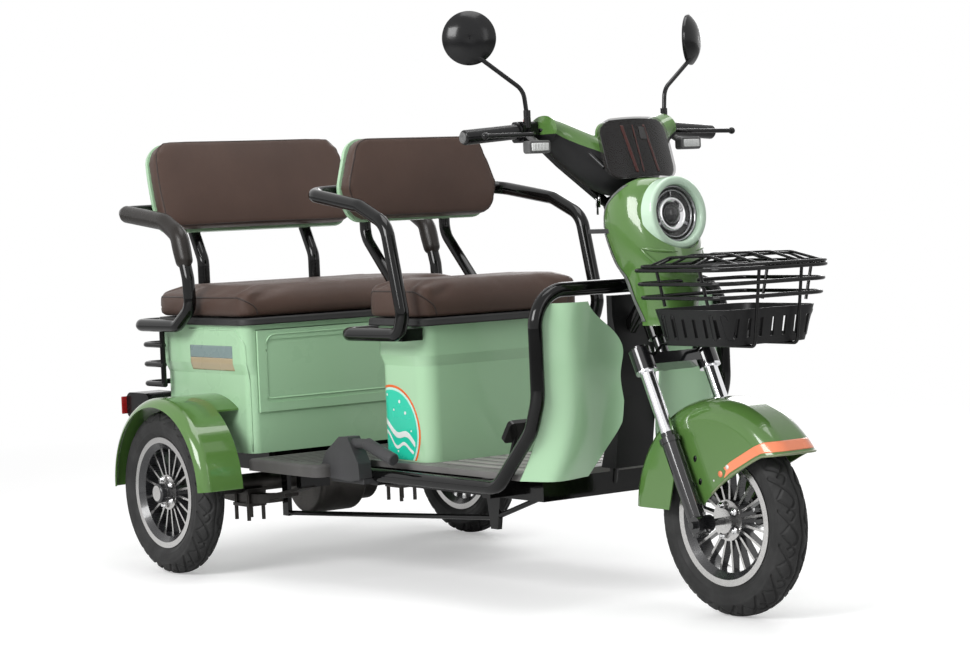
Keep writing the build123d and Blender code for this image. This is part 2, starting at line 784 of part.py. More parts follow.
def battery():
    """Set of cells on the floor of the seat box, as one block."""
    low = FLOOR_TOP + PANEL
    x0 = SEAT_REAR + BATTERY_INSET
    x1 = SEAT_FRONT - BATTERY_INSET
    return block(x0, x1, -BATTERY_HALF, BATTERY_HALF, low, low + BATTERY_HEIGHT)


def cushion(x0, x1, half, z0, z1):
    """Plain cushion on its base strip."""
    base = block(x0, x1, -half, half, z0, z0 + SEAT_STRIP)
    base = fillet(base.edges().filter_by(Axis.Z), SEAT_CORNER)
    pad = block(x0 + 2, x1 - 2, -half + 2, half - 2, z0 + SEAT_STRIP, z1)
    pad = fillet(pad.edges().filter_by(Axis.Z), SEAT_CORNER)
    pad = fillet(pad.faces().sort_by(Axis.Z)[-1].edges(), SEAT_ROUND)
    return base + pad


def front_seat_cushion():
    return cushion(SEAT_REAR, SEAT_FRONT, SEAT_HALF, SEAT_BOX_TOP + RUNNING_GAP, SEAT_TOP)


def backrest(low, top, half, outline, front, thickness, rounding):
    """Slab parallel to a backrest's face; its outline is (share of half width, share of height, radius)."""
    length = math.hypot(top[0] - low[0], top[1] - low[1])
    up = Vector(top[0] - low[0], 0, top[1] - low[1]) * (1 / length)
    plane = Plane(origin=(low[0], 0, low[1]), x_dir=(0, -1, 0), z_dir=up.cross(Vector(0, 1, 0)))
    right = [(-half * share, length * height) for share, height, radius in outline]
    left = [(-x, y) for x, y in reversed(right)]
    radii = [radius for share, height, radius in outline]
    path = FilletPolyline(*(right + left), radius=radii + radii[::-1], close=True)
    slab = extrude(plane * Pos(0, 0, front) * make_face(path), amount=thickness, dir=plane.z_dir)
    if rounding > 0:
        back_face = slab.faces().sort_by(Axis(plane.origin, plane.z_dir))[-1]
        slab = fillet(back_face.edges(), rounding)
    return slab


def front_backrest_pad():
    return backrest(SEAT_BACK_LOW, SEAT_BACK_TOP, SEAT_BACK_HALF, SEAT_BACK_OUTLINE, 0, PAD_THICKNESS, 0)


def front_backrest_shell():
    half = SEAT_BACK_HALF - SHELL_INSET
    shell = (PAD_THICKNESS, SHELL_THICKNESS, SHELL_ROUND)
    return backrest(SEAT_BACK_LOW, SEAT_BACK_TOP, half, SEAT_BACK_OUTLINE, *shell)


def front_arm_frame():
    """Driver's arm tubes, the crossbar behind the backrest and the two posts under it."""
    back_x = SEAT_BACK_LOW[0] - PAD_THICKNESS - SHELL_THICKNESS - TUBE_R - BACK_GAP
    rear_x = SEAT_REAR - TUBE_R - 2
    half = DRIVER_ARM_HALF
    points = [
        (rear_x, 0.0, ARM_LOW),
        (rear_x, 1.0, ARM_LOW),
        (SEAT_FRONT - 24, 1.0, ARM_LOW + 2),
        (SEAT_FRONT - 6, 1.0, ARM_LOW + 48),
        (SEAT_FRONT - 58, 1.0, ARM_LOW + 258),
        (SEAT_FRONT - 166, 1.0, ARM_LOW + 303),
        (back_x + 10, 1.0, ARM_BACK_Z - 6),
        (back_x, 0.5, ARM_BACK_Z),
    ]
    right = [(x, -half * share, z) for x, share, z in points]
    bar = bent_bar(right, [40, 30, 40, 60, 60, 50], TUBE_R)
    crossbar = cross_rod((back_x, 0, ARM_BACK_Z), half * 0.5, TUBE_R)
    post = bent_bar(
        [
            (back_x, -POST_Y, ARM_BACK_Z),
            (back_x, -POST_Y, SEAT_BACK_LOW[1] - 42),
            (rear_x, -POST_Y, SEAT_TOP - 32),
            (rear_x, -POST_Y, ARM_LOW),
        ],
        [60, 60],
        TUBE_R - 2,
    )
    inner = -SEAT_BOX_HALF + PANEL / 2
    bracket = block(SEAT_FRONT - 64, SEAT_FRONT - 20, -half + 6, inner, ARM_LOW - 14, ARM_LOW + 14)
    clip = block(back_x, back_x + 40, -90, -60, ARM_BACK_Z - 14, ARM_BACK_Z + 14)
    return both_sides(bar + post + bracket + clip) + crossbar


# ================================================================ rear bench
def rear_box():
    """Storage box under the bench, flared above a shoulder, open on top and cut for its door."""
    low_half = BENCH_BOX_HALF - FLARE
    low_rear = BENCH_BOX_REAR + FLARE / 2
    sections = [
        (BENCH_BOX_LOW, low_rear, BENCH_BOX_FRONT, low_half),
        (BENCH_BOX_TOP - FLARE_LOW, low_rear, BENCH_BOX_FRONT, low_half),
        (BENCH_BOX_TOP - FLARE_HIGH, BENCH_BOX_REAR - FLARE / 2, BENCH_BOX_FRONT, BENCH_BOX_HALF),
        (BENCH_BOX_TOP, BENCH_BOX_REAR, BENCH_BOX_FRONT, BENCH_BOX_HALF),
    ]
    shell = flared_box(sections, PANEL, BENCH_BOX_CORNER)
    front = BENCH_BOX_FRONT
    opening = block(front - 2 * PANEL, front + 1, -DOOR_HALF, DOOR_HALF, DOOR_LOW, DOOR_TOP)
    return shell - opening


def rear_box_door():
    """Front door with a raised border round its field."""
    x0 = BENCH_BOX_FRONT - PANEL
    x1 = x0 + DOOR_THICKNESS
    low = DOOR_LOW + RUNNING_GAP
    top = DOOR_TOP - DOOR_GAP
    half = DOOR_HALF - DOOR_GAP
    panel = block(x0, x1, -half, half, low, top)
    panel = fillet(panel.faces().sort_by(Axis.X)[-1].edges(), DOOR_RELIEF)
    edge = DOOR_FRAME
    field = block(x1 - DOOR_RELIEF, x1 + 1, -half + edge, half - edge, low + edge, top - edge)
    return panel - fillet(field.edges().filter_by(Axis.X), edge / 2)


def rear_seat_cushion():
    return cushion(BENCH_REAR, BENCH_FRONT, BENCH_HALF, BENCH_BOX_TOP + RUNNING_GAP, BENCH_TOP)


def rear_backrest_pad():
    return backrest(BENCH_BACK_LOW, BENCH_BACK_TOP, BENCH_BACK_HALF, BENCH_BACK_OUTLINE, 0, PAD_THICKNESS, 0)


def rear_backrest_shell():
    half = BENCH_BACK_HALF - SHELL_INSET
    shell = (PAD_THICKNESS, SHELL_THICKNESS, SHELL_ROUND)
    return backrest(BENCH_BACK_LOW, BENCH_BACK_TOP, half, BENCH_BACK_OUTLINE, *shell)


def bench_post_x():
    """Place of the upright tubes behind the storage box."""
    return BENCH_REAR - TUBE_R - BENCH_POST_GAP


def rear_arm():
    """Right arm tube with the guard hoops below it."""
    half = BENCH_ARM_HALF
    post_x = bench_post_x()
    points = [(post_x, 0.0, BENCH_ARM_LOW), (post_x, 1.0, BENCH_ARM_LOW)]
    points += [(BENCH_REAR + 168, 1.0, BENCH_ARM_LOW), (BENCH_REAR + 240, 1.0, BENCH_ARM_LOW + 47)]
    points += [(x, 1.0, z) for x, z in BENCH_ARM_TOP]
    back_x, back_z = BENCH_ARM_TOP[-1]
    points.append((back_x - 8, BENCH_POST_Y / half, back_z + 3))
    right = [(x, -half * share, z) for x, share, z in points]
    pieces = [bent_bar(right, [40, 40, 40, 60] + BENCH_ARM_BENDS + [50], TUBE_R)]
    side = -half + 2 * HOOP_R
    for index in range(HOOP_COUNT):
        z = HOOP_TOP - HOOP_STEP * index
        hoop = [(HOOP_FRONT, side, z), (post_x, side, z), (post_x, -BENCH_POST_Y, z)]
        pieces.append(bent_bar(hoop, [30], HOOP_R))
    low = HOOP_TOP - HOOP_STEP * (HOOP_COUNT - 1)
    pieces.append(rod((HOOP_FRONT - 6, side, low), (HOOP_FRONT - 6, side, BENCH_ARM_LOW), HOOP_R))
    return joined(pieces)


def rear_arm_right():
    return rear_arm()


def rear_arm_left():
    return mirrored(rear_arm())


def rear_back_frame():
    """Posts behind the storage box, the crossbar they carry and the clips into the backrest's shell."""
    post_x = bench_post_x()
    back_x = BENCH_ARM_TOP[-1][0] - 8
    back_z = BENCH_ARM_TOP[-1][1] + 3
    crossbar = cross_rod((back_x, 0, back_z), BENCH_POST_Y, TUBE_R)
    post_top = BENCH_BACK_LOW[1] - POST_BEND_BELOW
    post = bent_bar(
        [(post_x, -BENCH_POST_Y, RAIL_Z), (post_x, -BENCH_POST_Y, post_top), (back_x, -BENCH_POST_Y, back_z)],
        [60],
        TUBE_R,
    )
    foot_inner = -BENCH_POST_Y + TUBE_R
    foot = block(post_x - TUBE_R, post_x + TUBE_R, -RAIL_Y, foot_inner, RAIL_Z - TUBE_R, RAIL_Z + TUBE_R)
    bars = []
    for index in range(HOOP_COUNT):
        bars.append(cross_rod((post_x, 0, HOOP_TOP - HOOP_STEP * index), BENCH_POST_Y, HOOP_R))
    clip = block(back_x, back_x + 48, -BENCH_POST_Y + 25, -BENCH_POST_Y + 65, back_z - 14, back_z + 14)
    return both_sides(post + foot + clip) + crossbar + joined(bars)


def rear_arm_pads():
    """Soft oval sleeves round the upper arm tubes."""
    half = BENCH_ARM_HALF
    (x0, z0), (x1, z1), (x2, z2), (x3, z3) = BENCH_ARM_TOP
    path = FilletPolyline(
        (x1 + ARM_PAD_START * (x0 - x1), -half, z1 + ARM_PAD_START * (z0 - z1)),
        (x1, -half, z1),
        (x2, -half, z2),
        (x2 + ARM_PAD_END * (x3 - x2), -half, z2 + ARM_PAD_END * (z3 - z2)),
        radius=BENCH_ARM_BENDS,
    )
    end = Plane(origin=path @ 0, x_dir=(0, 1, 0), z_dir=path % 0)
    pad = sweep(end * Ellipse(ARM_PAD_HALF, ARM_PAD_HEIGHT), path=path)
    return both_sides(pad - sweep(end * Circle(TUBE_R), path=path))


def tail_lamps():
    """Round-cornered lamp blocks on brackets behind the storage box."""
    rear = BENCH_REAR - TAIL_REACH
    outer = -FENDER_INNER + TAIL_GAP
    wall = BENCH_BOX_REAR + FLARE / 2
    low = TAIL_Z - TAIL_HALF_HEIGHT
    lamp = block(rear, wall, outer, outer + TAIL_WIDTH, low, low + 2 * TAIL_HALF_HEIGHT)
    lamp = fillet(lamp.edges().filter_by(Axis.Y), TAIL_CORNER)
    return both_sides(lamp)


# ================================================================ rear axle
def rear_fender():
    """Wide arch over one rear wheel, flat inside, rounded outside, with a bridge to the storage box."""
    width = FENDER_OUTER - FENDER_INNER
    plane = Plane(origin=(FENDER_X, -FENDER_OUTER, FENDER_Z), x_dir=(1, 0, 0), z_dir=(0, 1, 0))
    outer = extrude(plane * Circle(FENDER_R), amount=width)
    outer = fillet(outer.edges().sort_by(Axis.Y)[0], FENDER_ROUND)
    core = Pos(0, FENDER_WALL, 0) * extrude(plane * Circle(FENDER_R - FENDER_WALL), amount=width)
    core = fillet(core.edges().sort_by(Axis.Y)[0], FENDER_ROUND - FENDER_WALL)
    mouth = extrude(plane * Circle(FENDER_R - FENDER_LIP), amount=FENDER_ROUND)
    x0 = FENDER_X - 2 * FENDER_R
    x1 = FENDER_X + 2 * FENDER_R
    y0 = -FENDER_OUTER - 1
    y1 = -FENDER_INNER + 1
    below = side_profile(
        [
            (x0, FENDER_Z - FENDER_R - 1),
            (x1, FENDER_Z - FENDER_R - 1),
            (x1, FENDER_Z + FENDER_FRONT_LOW),
            (FENDER_X, FENDER_Z - FENDER_REAR_LOW),
            (x0, FENDER_Z - FENDER_REAR_LOW),
        ],
        y0,
        y1,
    )
    shell = outer - core - mouth - below
    reach = FENDER_OUTER - BENCH_BOX_HALF + FLARE + PANEL / 2
    ring = extrude(plane * Circle(FENDER_R), amount=reach)
    ring = ring - extrude(plane * Circle(FENDER_R - FENDER_WALL), amount=reach)
    side = -BENCH_BOX_HALF + FLARE + PANEL / 2
    patch = block(FENDER_X - BRIDGE, FENDER_X + BRIDGE, y1 - 2, side, FENDER_Z, FENDER_Z + FENDER_R + 1)
    return shell + (ring & patch)


def rear_fenders():
    return both_sides(rear_fender())


def rear_axle():
    """Axle tube with its stub ends, drive motor, gear casing, brake drums and spring seats."""
    tube_end = REAR_TRACK / 2 - RIM_WIDTH / 2 - DRUM_WIDTH
    stub_end = REAR_TRACK / 2 + RIM_WIDTH / 2 - 10
    centre = (0, 0, TYRE_R)
    motor_z = TYRE_R - MOTOR_DROP
    motor = cross_rod((0, 0, motor_z), MOTOR_HALF, MOTOR_R)
    motor = fillet(motor.edges(), MOTOR_ROUND)
    casing = rod((0, MOTOR_HALF - 2, motor_z), (0, MOTOR_HALF + 50, motor_z), CASING_R)
    drum_in = tube_end - DRUM_GAP
    drum = rod((0, -drum_in, TYRE_R), (0, -drum_in - DRUM_WIDTH, TYRE_R), DRUM_R)
    seat = SPRING_TOP
    half = U_BOLT_X + U_BOLT_R + 3
    y0 = SPRING_Y - SPRING_WIDTH / 2 - U_BOLT_R
    y1 = SPRING_Y + SPRING_WIDTH / 2 + U_BOLT_R
    pad = block(-half, half, y0, y1, seat, seat + SEAT_PAD)
    stack = LEAF * len(LEAF_SHARES)
    plate = block(-half, half, y0, y1, seat - stack - LEAF, seat - stack)
    bolts = []
    for x in (-U_BOLT_X, U_BOLT_X):
        for y in (y0 + U_BOLT_R, y1 - U_BOLT_R):
            bolts.append(rod((x, y, U_BOLT_LOW), (x, y, seat + SEAT_PAD), U_BOLT_R))
    body = cross_rod(centre, tube_end, AXLE_TUBE_R) + cross_rod(centre, stub_end, STUB_R) + motor + casing
    return body + both_sides(drum + pad + plate + joined(bolts))


def leaf_spring():
    """Stack of leaves, longest on top, each a shallow arc with its ends up."""
    top = SPRING_TOP - LEAF / 2
    pieces = []
    for index, share in enumerate(LEAF_SHARES):
        reach = SPRING_REACH * share
        z = top - LEAF * index
        sag = SPRING_SAG * share**2
        arc = ThreePointArc((-reach, -SPRING_Y, z + sag), (0, -SPRING_Y, z), (reach, -SPRING_Y, z + sag))
        section = Plane(origin=arc @ 0, x_dir=(0, 1, 0), z_dir=arc % 0) * Rectangle(LEAF_WIDTH, LEAF)
        pieces.append(sweep(section, path=arc))
    return joined(pieces)


def leaf_springs():
    return both_sides(leaf_spring())


def hand_brake():
    """Housing beside the driver's seat with a lever and its grip."""
    x = SEAT_REAR - HAND_BRAKE_BEHIND
    low = STEP_TOP - STEP_THICKNESS
    body = side_profile(
        [
            (x, low),
            (x + 42, low + 60),
            (x + 100, low + 98),
            (x + 136, low + 100),
            (x + 178, low + 38),
            (x + 182, low),
            (x + 142, low - 6),
        ],
        -HAND_BRAKE_Y - HAND_BRAKE_HALF,
        -HAND_BRAKE_Y + HAND_BRAKE_HALF,
    )
    body = fillet(body.edges().filter_by(Axis.Y), 5)
    lever = rod((x + 132, -HAND_BRAKE_Y, low + 83), (x + 197, -HAND_BRAKE_Y, low + 84), 12)
    grip = rod((x + 192, -HAND_BRAKE_Y, low + 85), (x + 302, -HAND_BRAKE_Y, low + 52), 15)
    grip = fillet(grip.edges(), 5)
    foot = block(x + 42, x + 182, -HAND_BRAKE_Y - 6, -FLOOR_HALF - 3, low - 12, low)
    return body + lever + grip + foot


def brake_pedal():
    """Pedal pad on its arm, coming up through the floor."""
    tread = fillet(Box(12, 66, 56).edges().filter_by(Axis.X), 10)
    pad = Pos(PEDAL_X, -PEDAL_Y, PEDAL_Z) * Rot(0, 35, 0) * tread
    arm = rod((PEDAL_X - 4, -PEDAL_Y, PEDAL_Z - 6), (PEDAL_X - 42, -PEDAL_Y, FLOOR_TOP - FLOOR_THICKNESS), 6)
    return pad + arm


# ================================================================ fork and bars
def fork_leg():
    """Right leg: polished stanchion, wide lower leg, clamp collar, axle lug and fender lugs."""
    y = -FORK_HALF_SPAN
    ahead = FORK_OFFSET
    bottom = AXLE_DOWN + LOWER_LEG_R
    stanchion = rod(steer_point(-30, y, ahead), steer_point(LOWER_LEG_TOP + 70, y, ahead), STANCHION_R)
    lower = rod(steer_point(LOWER_LEG_TOP, y, ahead), steer_point(bottom, y, ahead), LOWER_LEG_R)
    seal_top = steer_point(LOWER_LEG_TOP - 8, y, ahead)
    seal = rod(seal_top, steer_point(LOWER_LEG_TOP + 4, y, ahead), LOWER_LEG_R + 3)
    collar = rod(steer_point(30, y, ahead), steer_point(-24, y, ahead), LEG_CLAMP_R)
    lug = cross_rod((WHEELBASE, y, TYRE_R), LOWER_LEG_R + 2, AXLE_R + 10)
    pieces = [stanchion, lower, seal, collar, lug]
    for down in FENDER_LUG_DOWN:
        x, side, z = steer_point(down, y, ahead)
        pieces.append(rod((x, -FRONT_FENDER_HALF, z), (x, y, z), FENDER_LUG_R))
    return joined(pieces)


def fork():
    """Both legs, the lower crown, the steering stem, the cowl bracket and the front axle."""
    crown_middle = steer_point(14, 0, FORK_OFFSET / 2)
    crown_plane = Plane(origin=crown_middle, x_dir=(0, 1, 0), z_dir=(-SIN_RAKE, 0, COS_RAKE))
    crown_shape = RectangleRounded(2 * FORK_HALF_SPAN, CROWN_DEPTH, 20)
    crown = extrude(crown_plane * crown_shape, amount=CROWN_THICKNESS)
    stem = rod(steer_point(14), steer_point(-STEM_TOP), STEM_R)
    axle = cross_rod((WHEELBASE, 0, TYRE_R), FORK_HALF_SPAN, AXLE_R)
    nuts = cross_rod((WHEELBASE, 0, TYRE_R), FORK_HALF_SPAN + LOWER_LEG_R + 12, AXLE_R)
    nuts = nuts - cross_rod((WHEELBASE, 0, TYRE_R), FORK_HALF_SPAN, AXLE_R + 1)
    rear = steer_point(-HEAD_TUBE_HIGH - 20)[0]
    half = COWL_HALF - COWL_WALL
    level = CLAMP_Z + COWL_BRACKET
    bracket = block(rear, STEER_X_AT_CLAMP - 38, -half, half, level, level + 10)
    return both_sides(fork_leg()) + crown + stem + axle + nuts + bracket


def bar_line(radius):
    """The bent bar itself, or the channel for it when the radius is larger."""
    centre = steer_point(-STEM_TOP)
    right = [
        (BAR_X, -BAR_HALF, BAR_Z - BAR_DROP),
        (BAR_X + 4, -BAR_WING, BAR_Z + 4),
        (BAR_X + 30, -120, BAR_Z - 70),
        (centre[0], 0, centre[2] + 10),
    ]
    left = [(x, -y, z) for x, y, z in reversed(right[:-1])]
    return bent_bar(right + left, [30, 30, 40, 30, 30], radius)


def bar_clamp(radius, margin):
    """Collar that ties the bar to the top of the stem."""
    low = steer_point(-STEM_TOP - 0.5 + margin)
    high = steer_point(-STEM_TOP - CLAMP_LENGTH - margin)
    return rod(low, high, radius)


def bar_end(radius):
    """The straight outer stretch of the right bar."""
    return rod((BAR_X, -BAR_HALF, BAR_Z - BAR_DROP), (BAR_X + 4, -BAR_WING, BAR_Z + 4), radius)


def handlebar():
    return bar_line(BAR_R) + bar_clamp(CLAMP_R, 0)


def grips():
    """Rubber grips with an end cap and an inner flange."""
    share = (BAR_HALF - GRIP_INNER) / (BAR_HALF - BAR_WING)
    inner = (BAR_X + 4 * share, -GRIP_INNER, BAR_Z - BAR_DROP + (BAR_DROP + 4) * share)
    outer = (BAR_X, -BAR_HALF - GRIP_LIP, BAR_Z - BAR_DROP)
    grip = rod(outer, inner, GRIP_R)
    grip = fillet(grip.faces().sort_by(Axis.Y)[0].edges(), 5)
    flange = rod((inner[0], inner[1] - 4, inner[2]), inner, GRIP_R + GRIP_LIP + 2)
    return both_sides(grip + flange - bar_end(BAR_R))


def bar_controls():
    """Switch housing, lever perch, hand lever with its ball end and mirror boss, on each side."""
    y0 = -GRIP_INNER + 2
    y1 = y0 + CONTROL_WIDTH
    housing = block(BAR_X - 20, BAR_X + 24, y0, y1, BAR_Z - 22, BAR_Z + 24)
    housing = fillet(housing.edges().filter_by(Axis.Y), 9)
    perch = block(BAR_X + 14, BAR_X + 34, y0 + 12, y1 - 6, BAR_Z - 10, BAR_Z + 8)
    tip_y = -BAR_HALF + 3
    reach = BAR_X + LEVER_REACH
    lever_z = BAR_Z - BAR_DROP
    lever = bent_bar(
        [(BAR_X + 20, y0 + 30, BAR_Z - 2), (reach - 8, y0 - 6, BAR_Z - 6), (reach, tip_y, lever_z)],
        [20],
        LEVER_R,
    )
    ball = Pos(reach, tip_y, lever_z) * Sphere(LEVER_R + 3)
    boss = rod((BAR_X + 20, y0 + 14, BAR_Z + 10), (BAR_X + 20, y0 + 14, BAR_Z + MIRROR_BASE), 8)
    return both_sides(housing + perch + lever + ball + boss - bar_end(BAR_R))


def mirror():
    """Right mirror: bent stem from its boss to a domed round head turned outwards."""
    base = (BAR_X + 20, -GRIP_INNER + 16, BAR_Z + MIRROR_BASE + RUNNING_GAP)
    toe = math.radians(MIRROR_TOE)
    centre = (BAR_X - 21, -MIRROR_Y, BAR_Z + MIRROR_RISE)
    outward = (math.cos(toe), -math.sin(toe), 0)
    plane = Plane(origin=centre, x_dir=(math.sin(toe), math.cos(toe), 0), z_dir=outward)
    rim_top = 3 * MIRROR_LIP
    flat_r = MIRROR_R - MIRROR_LIP
    rim_edge = Polyline((0, MIRROR_DEPTH), (0, 0), (flat_r, 0), (MIRROR_R, MIRROR_LIP), (MIRROR_R, rim_top))
    dome = ThreePointArc((MIRROR_R, rim_top), (MIRROR_R * 0.6, MIRROR_DEPTH * 0.83), (0, MIRROR_DEPTH))
    outline = make_face(Plane.XZ * (Curve() + [rim_edge, dome]))
    head = plane.location * revolve(outline, Axis.Z)
    back = plane.from_local_coords((0, 0, MIRROR_DEPTH - 4))
    knee = (base[0] - 2, base[1] - 6, BAR_Z + 92)
    neck = (back.X, back.Y + 10, back.Z - 34)
    stem = bent_bar([base, knee, neck, (back.X, back.Y, back.Z)], [40, 12], MIRROR_STEM_R)
    collar = rod((base[0], base[1], base[2]), (base[0], base[1], base[2] + 14), MIRROR_STEM_R + 3)
    return head + stem + collar


def mirrors():
    return both_sides(mirror())


def turn_signals():
    """Small rectangular lamps on stalks under the controls."""
    y1 = -BAR_WING + 2
    z0 = BAR_Z - 48
    lamp = block(BAR_X + 66, BAR_X + 88, y1 - SIGNAL_LENGTH, y1, z0, z0 + SIGNAL_HEIGHT)
    lamp = fillet(lamp.edges().filter_by(Axis.X), 7)
    lamp = fillet(lamp.faces().sort_by(Axis.X)[-1].edges(), 3)
    stalk = rod((BAR_X + 22, -GRIP_INNER + 14, BAR_Z - 6), (BAR_X + 70, y1 - 17, z0 + 18), 7)
    return both_sides(lamp + stalk)


def visor_location():
    """Place of the screen's middle, facing forward and leaning back."""
    lean = math.radians(VISOR_LEAN)
    centre = (BAR_X + VISOR_AHEAD, 0, BAR_Z - VISOR_DROP)
    return Plane(origin=centre, x_dir=(0, 1, 0), z_dir=(math.cos(lean), 0, math.sin(lean))).location


def visor_bow(radius):
    """Drum whose front is the bow of the screen, in the screen's own frame."""
    return Pos(0, 0, -VISOR_BOW_R) * Rot(90, 0, 0) * Cylinder(radius, 2 * VISOR_HEIGHT)


def display_visor():
    """Smoked screen, bowed across and leaning back, in front of the instruments."""
    outline = Pos(0, 0, -VISOR_HALF) * RectangleRounded(2 * VISOR_HALF, VISOR_HEIGHT, VISOR_CORNER)
    column = extrude(outline, amount=2 * VISOR_HALF)
    screen = (visor_bow(VISOR_BOW_R) - visor_bow(VISOR_BOW_R - VISOR_THICKNESS)) & column
    return visor_location() * screen


def instrument_box():
    """Box behind the screen, ending on the screen's back."""
    middle = BAR_Z - VISOR_DROP
    front = BAR_X + VISOR_AHEAD + VISOR_THICKNESS
    half = BOX_HEIGHT / 2
    box = block(front - BOX_DEPTH, front, -BOX_HALF, BOX_HALF, middle - half, middle + half)
    box = fillet(box.edges().filter_by(Axis.X), BOX_CORNER)
    return box & (visor_location() * visor_bow(VISOR_BOW_R - VISOR_THICKNESS))


def bar_cover():
    """Gull-wing cover round the bars and the stem, with the instrument box in front."""
    centre = steer_point(-STEM_TOP)
    stations = [
        ((centre[0] + 27, 0, BAR_Z - 82), (0, -1, 0), 74, 67),
        ((centre[0] + 19, -60, BAR_Z - 74), (-0.05, -1, 0.25), 64, 58),
        ((centre[0] - 14, -120, BAR_Z - 30), (-0.1, -1, 0.5), 50, 42),
        ((BAR_X + 40, -COVER_HALF, BAR_Z + 3), (0, -1, 0.1), 50, 32),
    ]
    rings = []
    for middle, along, depth, height in stations:
        rings.append(Plane(origin=middle, x_dir=(1, 0, 0), z_dir=along) * Ellipse(depth, height))
    return both_sides(loft(rings)) + instrument_box()


def cover_split(shift):
    """Everything above the line where the upper cover meets the lower one."""
    low = BAR_Z - 68 + shift
    mid = BAR_Z - 44 + shift
    high = BAR_Z + 4 + shift
    top = BAR_Z + 120
    outside = -COVER_HALF - 20
    right = [(0, top), (0, low), (-62, low + 6), (-124, mid + 12), (outside, high), (outside, top)]
    return both_sides(front_profile(right, BAR_X - 120, BAR_X + 230))


def bar_cover_lower():
    channel = bar_line(BAR_R + COVER_CLEARANCE) + bar_clamp(CLAMP_R + COVER_CLEARANCE, 2)
    return bar_cover() - cover_split(0) - channel


def bar_cover_upper():
    channel = bar_line(BAR_R + COVER_CLEARANCE) + bar_clamp(CLAMP_R + COVER_CLEARANCE, 2)
    return (bar_cover() & cover_split(0)) - channel


# ================================================================ cowl and headlamp
def cowl_section(level, inset):
    """Plan of the cowl at a height above the clamp: narrow behind, widest past the middle."""
    above, rear, front, half = level
    x0 = STEER_X_AT_CLAMP + rear
    x1 = STEER_X_AT_CLAMP + front - inset
    y = half - inset
    z = CLAMP_Z + above
    span = x1 - x0
    right = [
        (x0, -y * COWL_REAR_SHARE, z),
        (x0 + span * 0.38, -y, z),
        (x0 + span * 0.78, -y * 0.8, z),
        (x1, 0, z),
        (x0 + span * 0.78, y * 0.8, z),
        (x0 + span * 0.38, y, z),
        (x0, y * COWL_REAR_SHARE, z),
    ]
    return make_face([Spline(*right), Line(right[-1], right[0])])


def cowl_body(inset):
    """Solid inside the cowl's outer or inner skin."""
    levels = [(above, rear, front, half) for above, rear, front, half in COWL_LEVELS]
    if inset > 0:
        first = levels[0]
        levels[0] = (first[0] - 2, first[1], first[2], first[3])
        last = levels[-1]
        levels[-1] = (last[0] - inset, last[1], last[2], last[3])
    body = loft([cowl_section(level, inset) for level in levels])
    start = lamp_plane(-BARREL_REACH)
    barrel = Solid.make_cone(BARREL_R - inset, LAMP_R - 1 - inset, BARREL_REACH - inset, start)
    return body + barrel


def head_cowl():
    """Shell round the steering head that carries the headlamp, open behind and below."""
    shell = cowl_body(0) - cowl_body(COWL_WALL) - lamp_disc(LAMP_R, -RING_BEHIND, LAMP_R)
    behind = head_points(COWL_TRAIL + [(-260, -10), (-260, 460), (COWL_TRAIL[0][0], 460)])
    return shell - side_profile(behind, -2 * COWL_HALF, 2 * COWL_HALF)


def headlight_bezel():
    """Pale ring round the lamp, rounded in front."""
    ring = lamp_disc(LAMP_R, -RING_BEHIND, RING_AHEAD) - lamp_disc(LENS_R, -RING_BEHIND - 1, RING_AHEAD + 1)
    front = ring.edges().filter_by(GeomType.CIRCLE).sort_by(Axis.X)[-2:]
    return fillet(front, RING_ROUND)


def headlight_lamp():
    """Lamp with a stepped reflector ring round a projector lens."""
    base = lamp_disc(LENS_R, -RING_BEHIND, 2)
    outer_ring = lamp_disc(LENS_R, 1, 13) - lamp_disc(LENS_R - 7, 0, 14)
    inner_ring = lamp_disc(PROJECTOR_R + 9, 1, 11) - lamp_disc(PROJECTOR_R + 2, 0, 12)
    lens = lamp_plane(-PROJECTOR_R / 2).location * Sphere(PROJECTOR_R)
    return base + outer_ring + inner_ring + (lens & lamp_disc(PROJECTOR_R, -RING_BEHIND + 2, PROJECTOR_R))


# ================================================================ basket
def basket_rail(inset, z):
    """One closed rail, made of a right and a left half."""
    x0 = BASKET_BACK + inset
    x1 = BASKET_FRONT - inset
    y = BASKET_HALF - inset
    half = bent_bar([(x0, 0, z), (x0, -y, z), (x1, -y, z), (x1, 0, z)], BASKET_BENDS, WIRE_R)
    return both_sides(half)


def basket_wire():
    """Three wire rails tied by ribs that run down in front and back under the tray to the crown."""
    low = BASKET_LOW - RIB_R
    top = BASKET_TOP - WIRE_R
    rails = [basket_rail(RIB_LEAN * step, top - RAIL_STEP * step) for step in range(RAIL_COUNT)]
    tray_side = BASKET_HALF - TRAY_INSET
    ribs = []
    for y in (-RIB_Y, RIB_Y):
        points = [
            (BASKET_FRONT - 1, y, top),
            (BASKET_FRONT - 22, y, low),
            (BASKET_BACK - 20, y, low),
            (STEER_X_AT_CLAMP + FORK_OFFSET - 5, y, CLAMP_Z + 17),
        ]
        ribs.append(bent_bar(points, [12, 20], RIB_R))
    for x in SIDE_RIBS:
        rib_x = BASKET_BACK + x
        ribs.append(both_sides(rod((rib_x, -BASKET_HALF - 1, top), (rib_x, -tray_side - 4, RIB_END), RIB_R)))
    return joined(rails + ribs)


def tray_shape(rise, low_side, high_side, corner):
    """Rounded tub that widens upwards."""
    x0 = BASKET_BACK + TRAY_INSET
    x1 = BASKET_FRONT - TRAY_INSET
    middle = (x0 + x1) / 2
    length = x1 - x0
    low_outline = RectangleRounded(length - 2 * low_side, low_width(low_side), corner)
    low = Pos(middle, 0, BASKET_LOW + rise) * low_outline
    top_z = BASKET_TRAY_TOP + (1 if rise > 0 else 0)
    width = 2 * (BASKET_HALF - TRAY_INSET) + 2 * TRAY_SPREAD
    high = Pos(middle, 0, top_z) * RectangleRounded(length - 2 * high_side, width - 2 * high_side, corner)
    return loft([low, high])


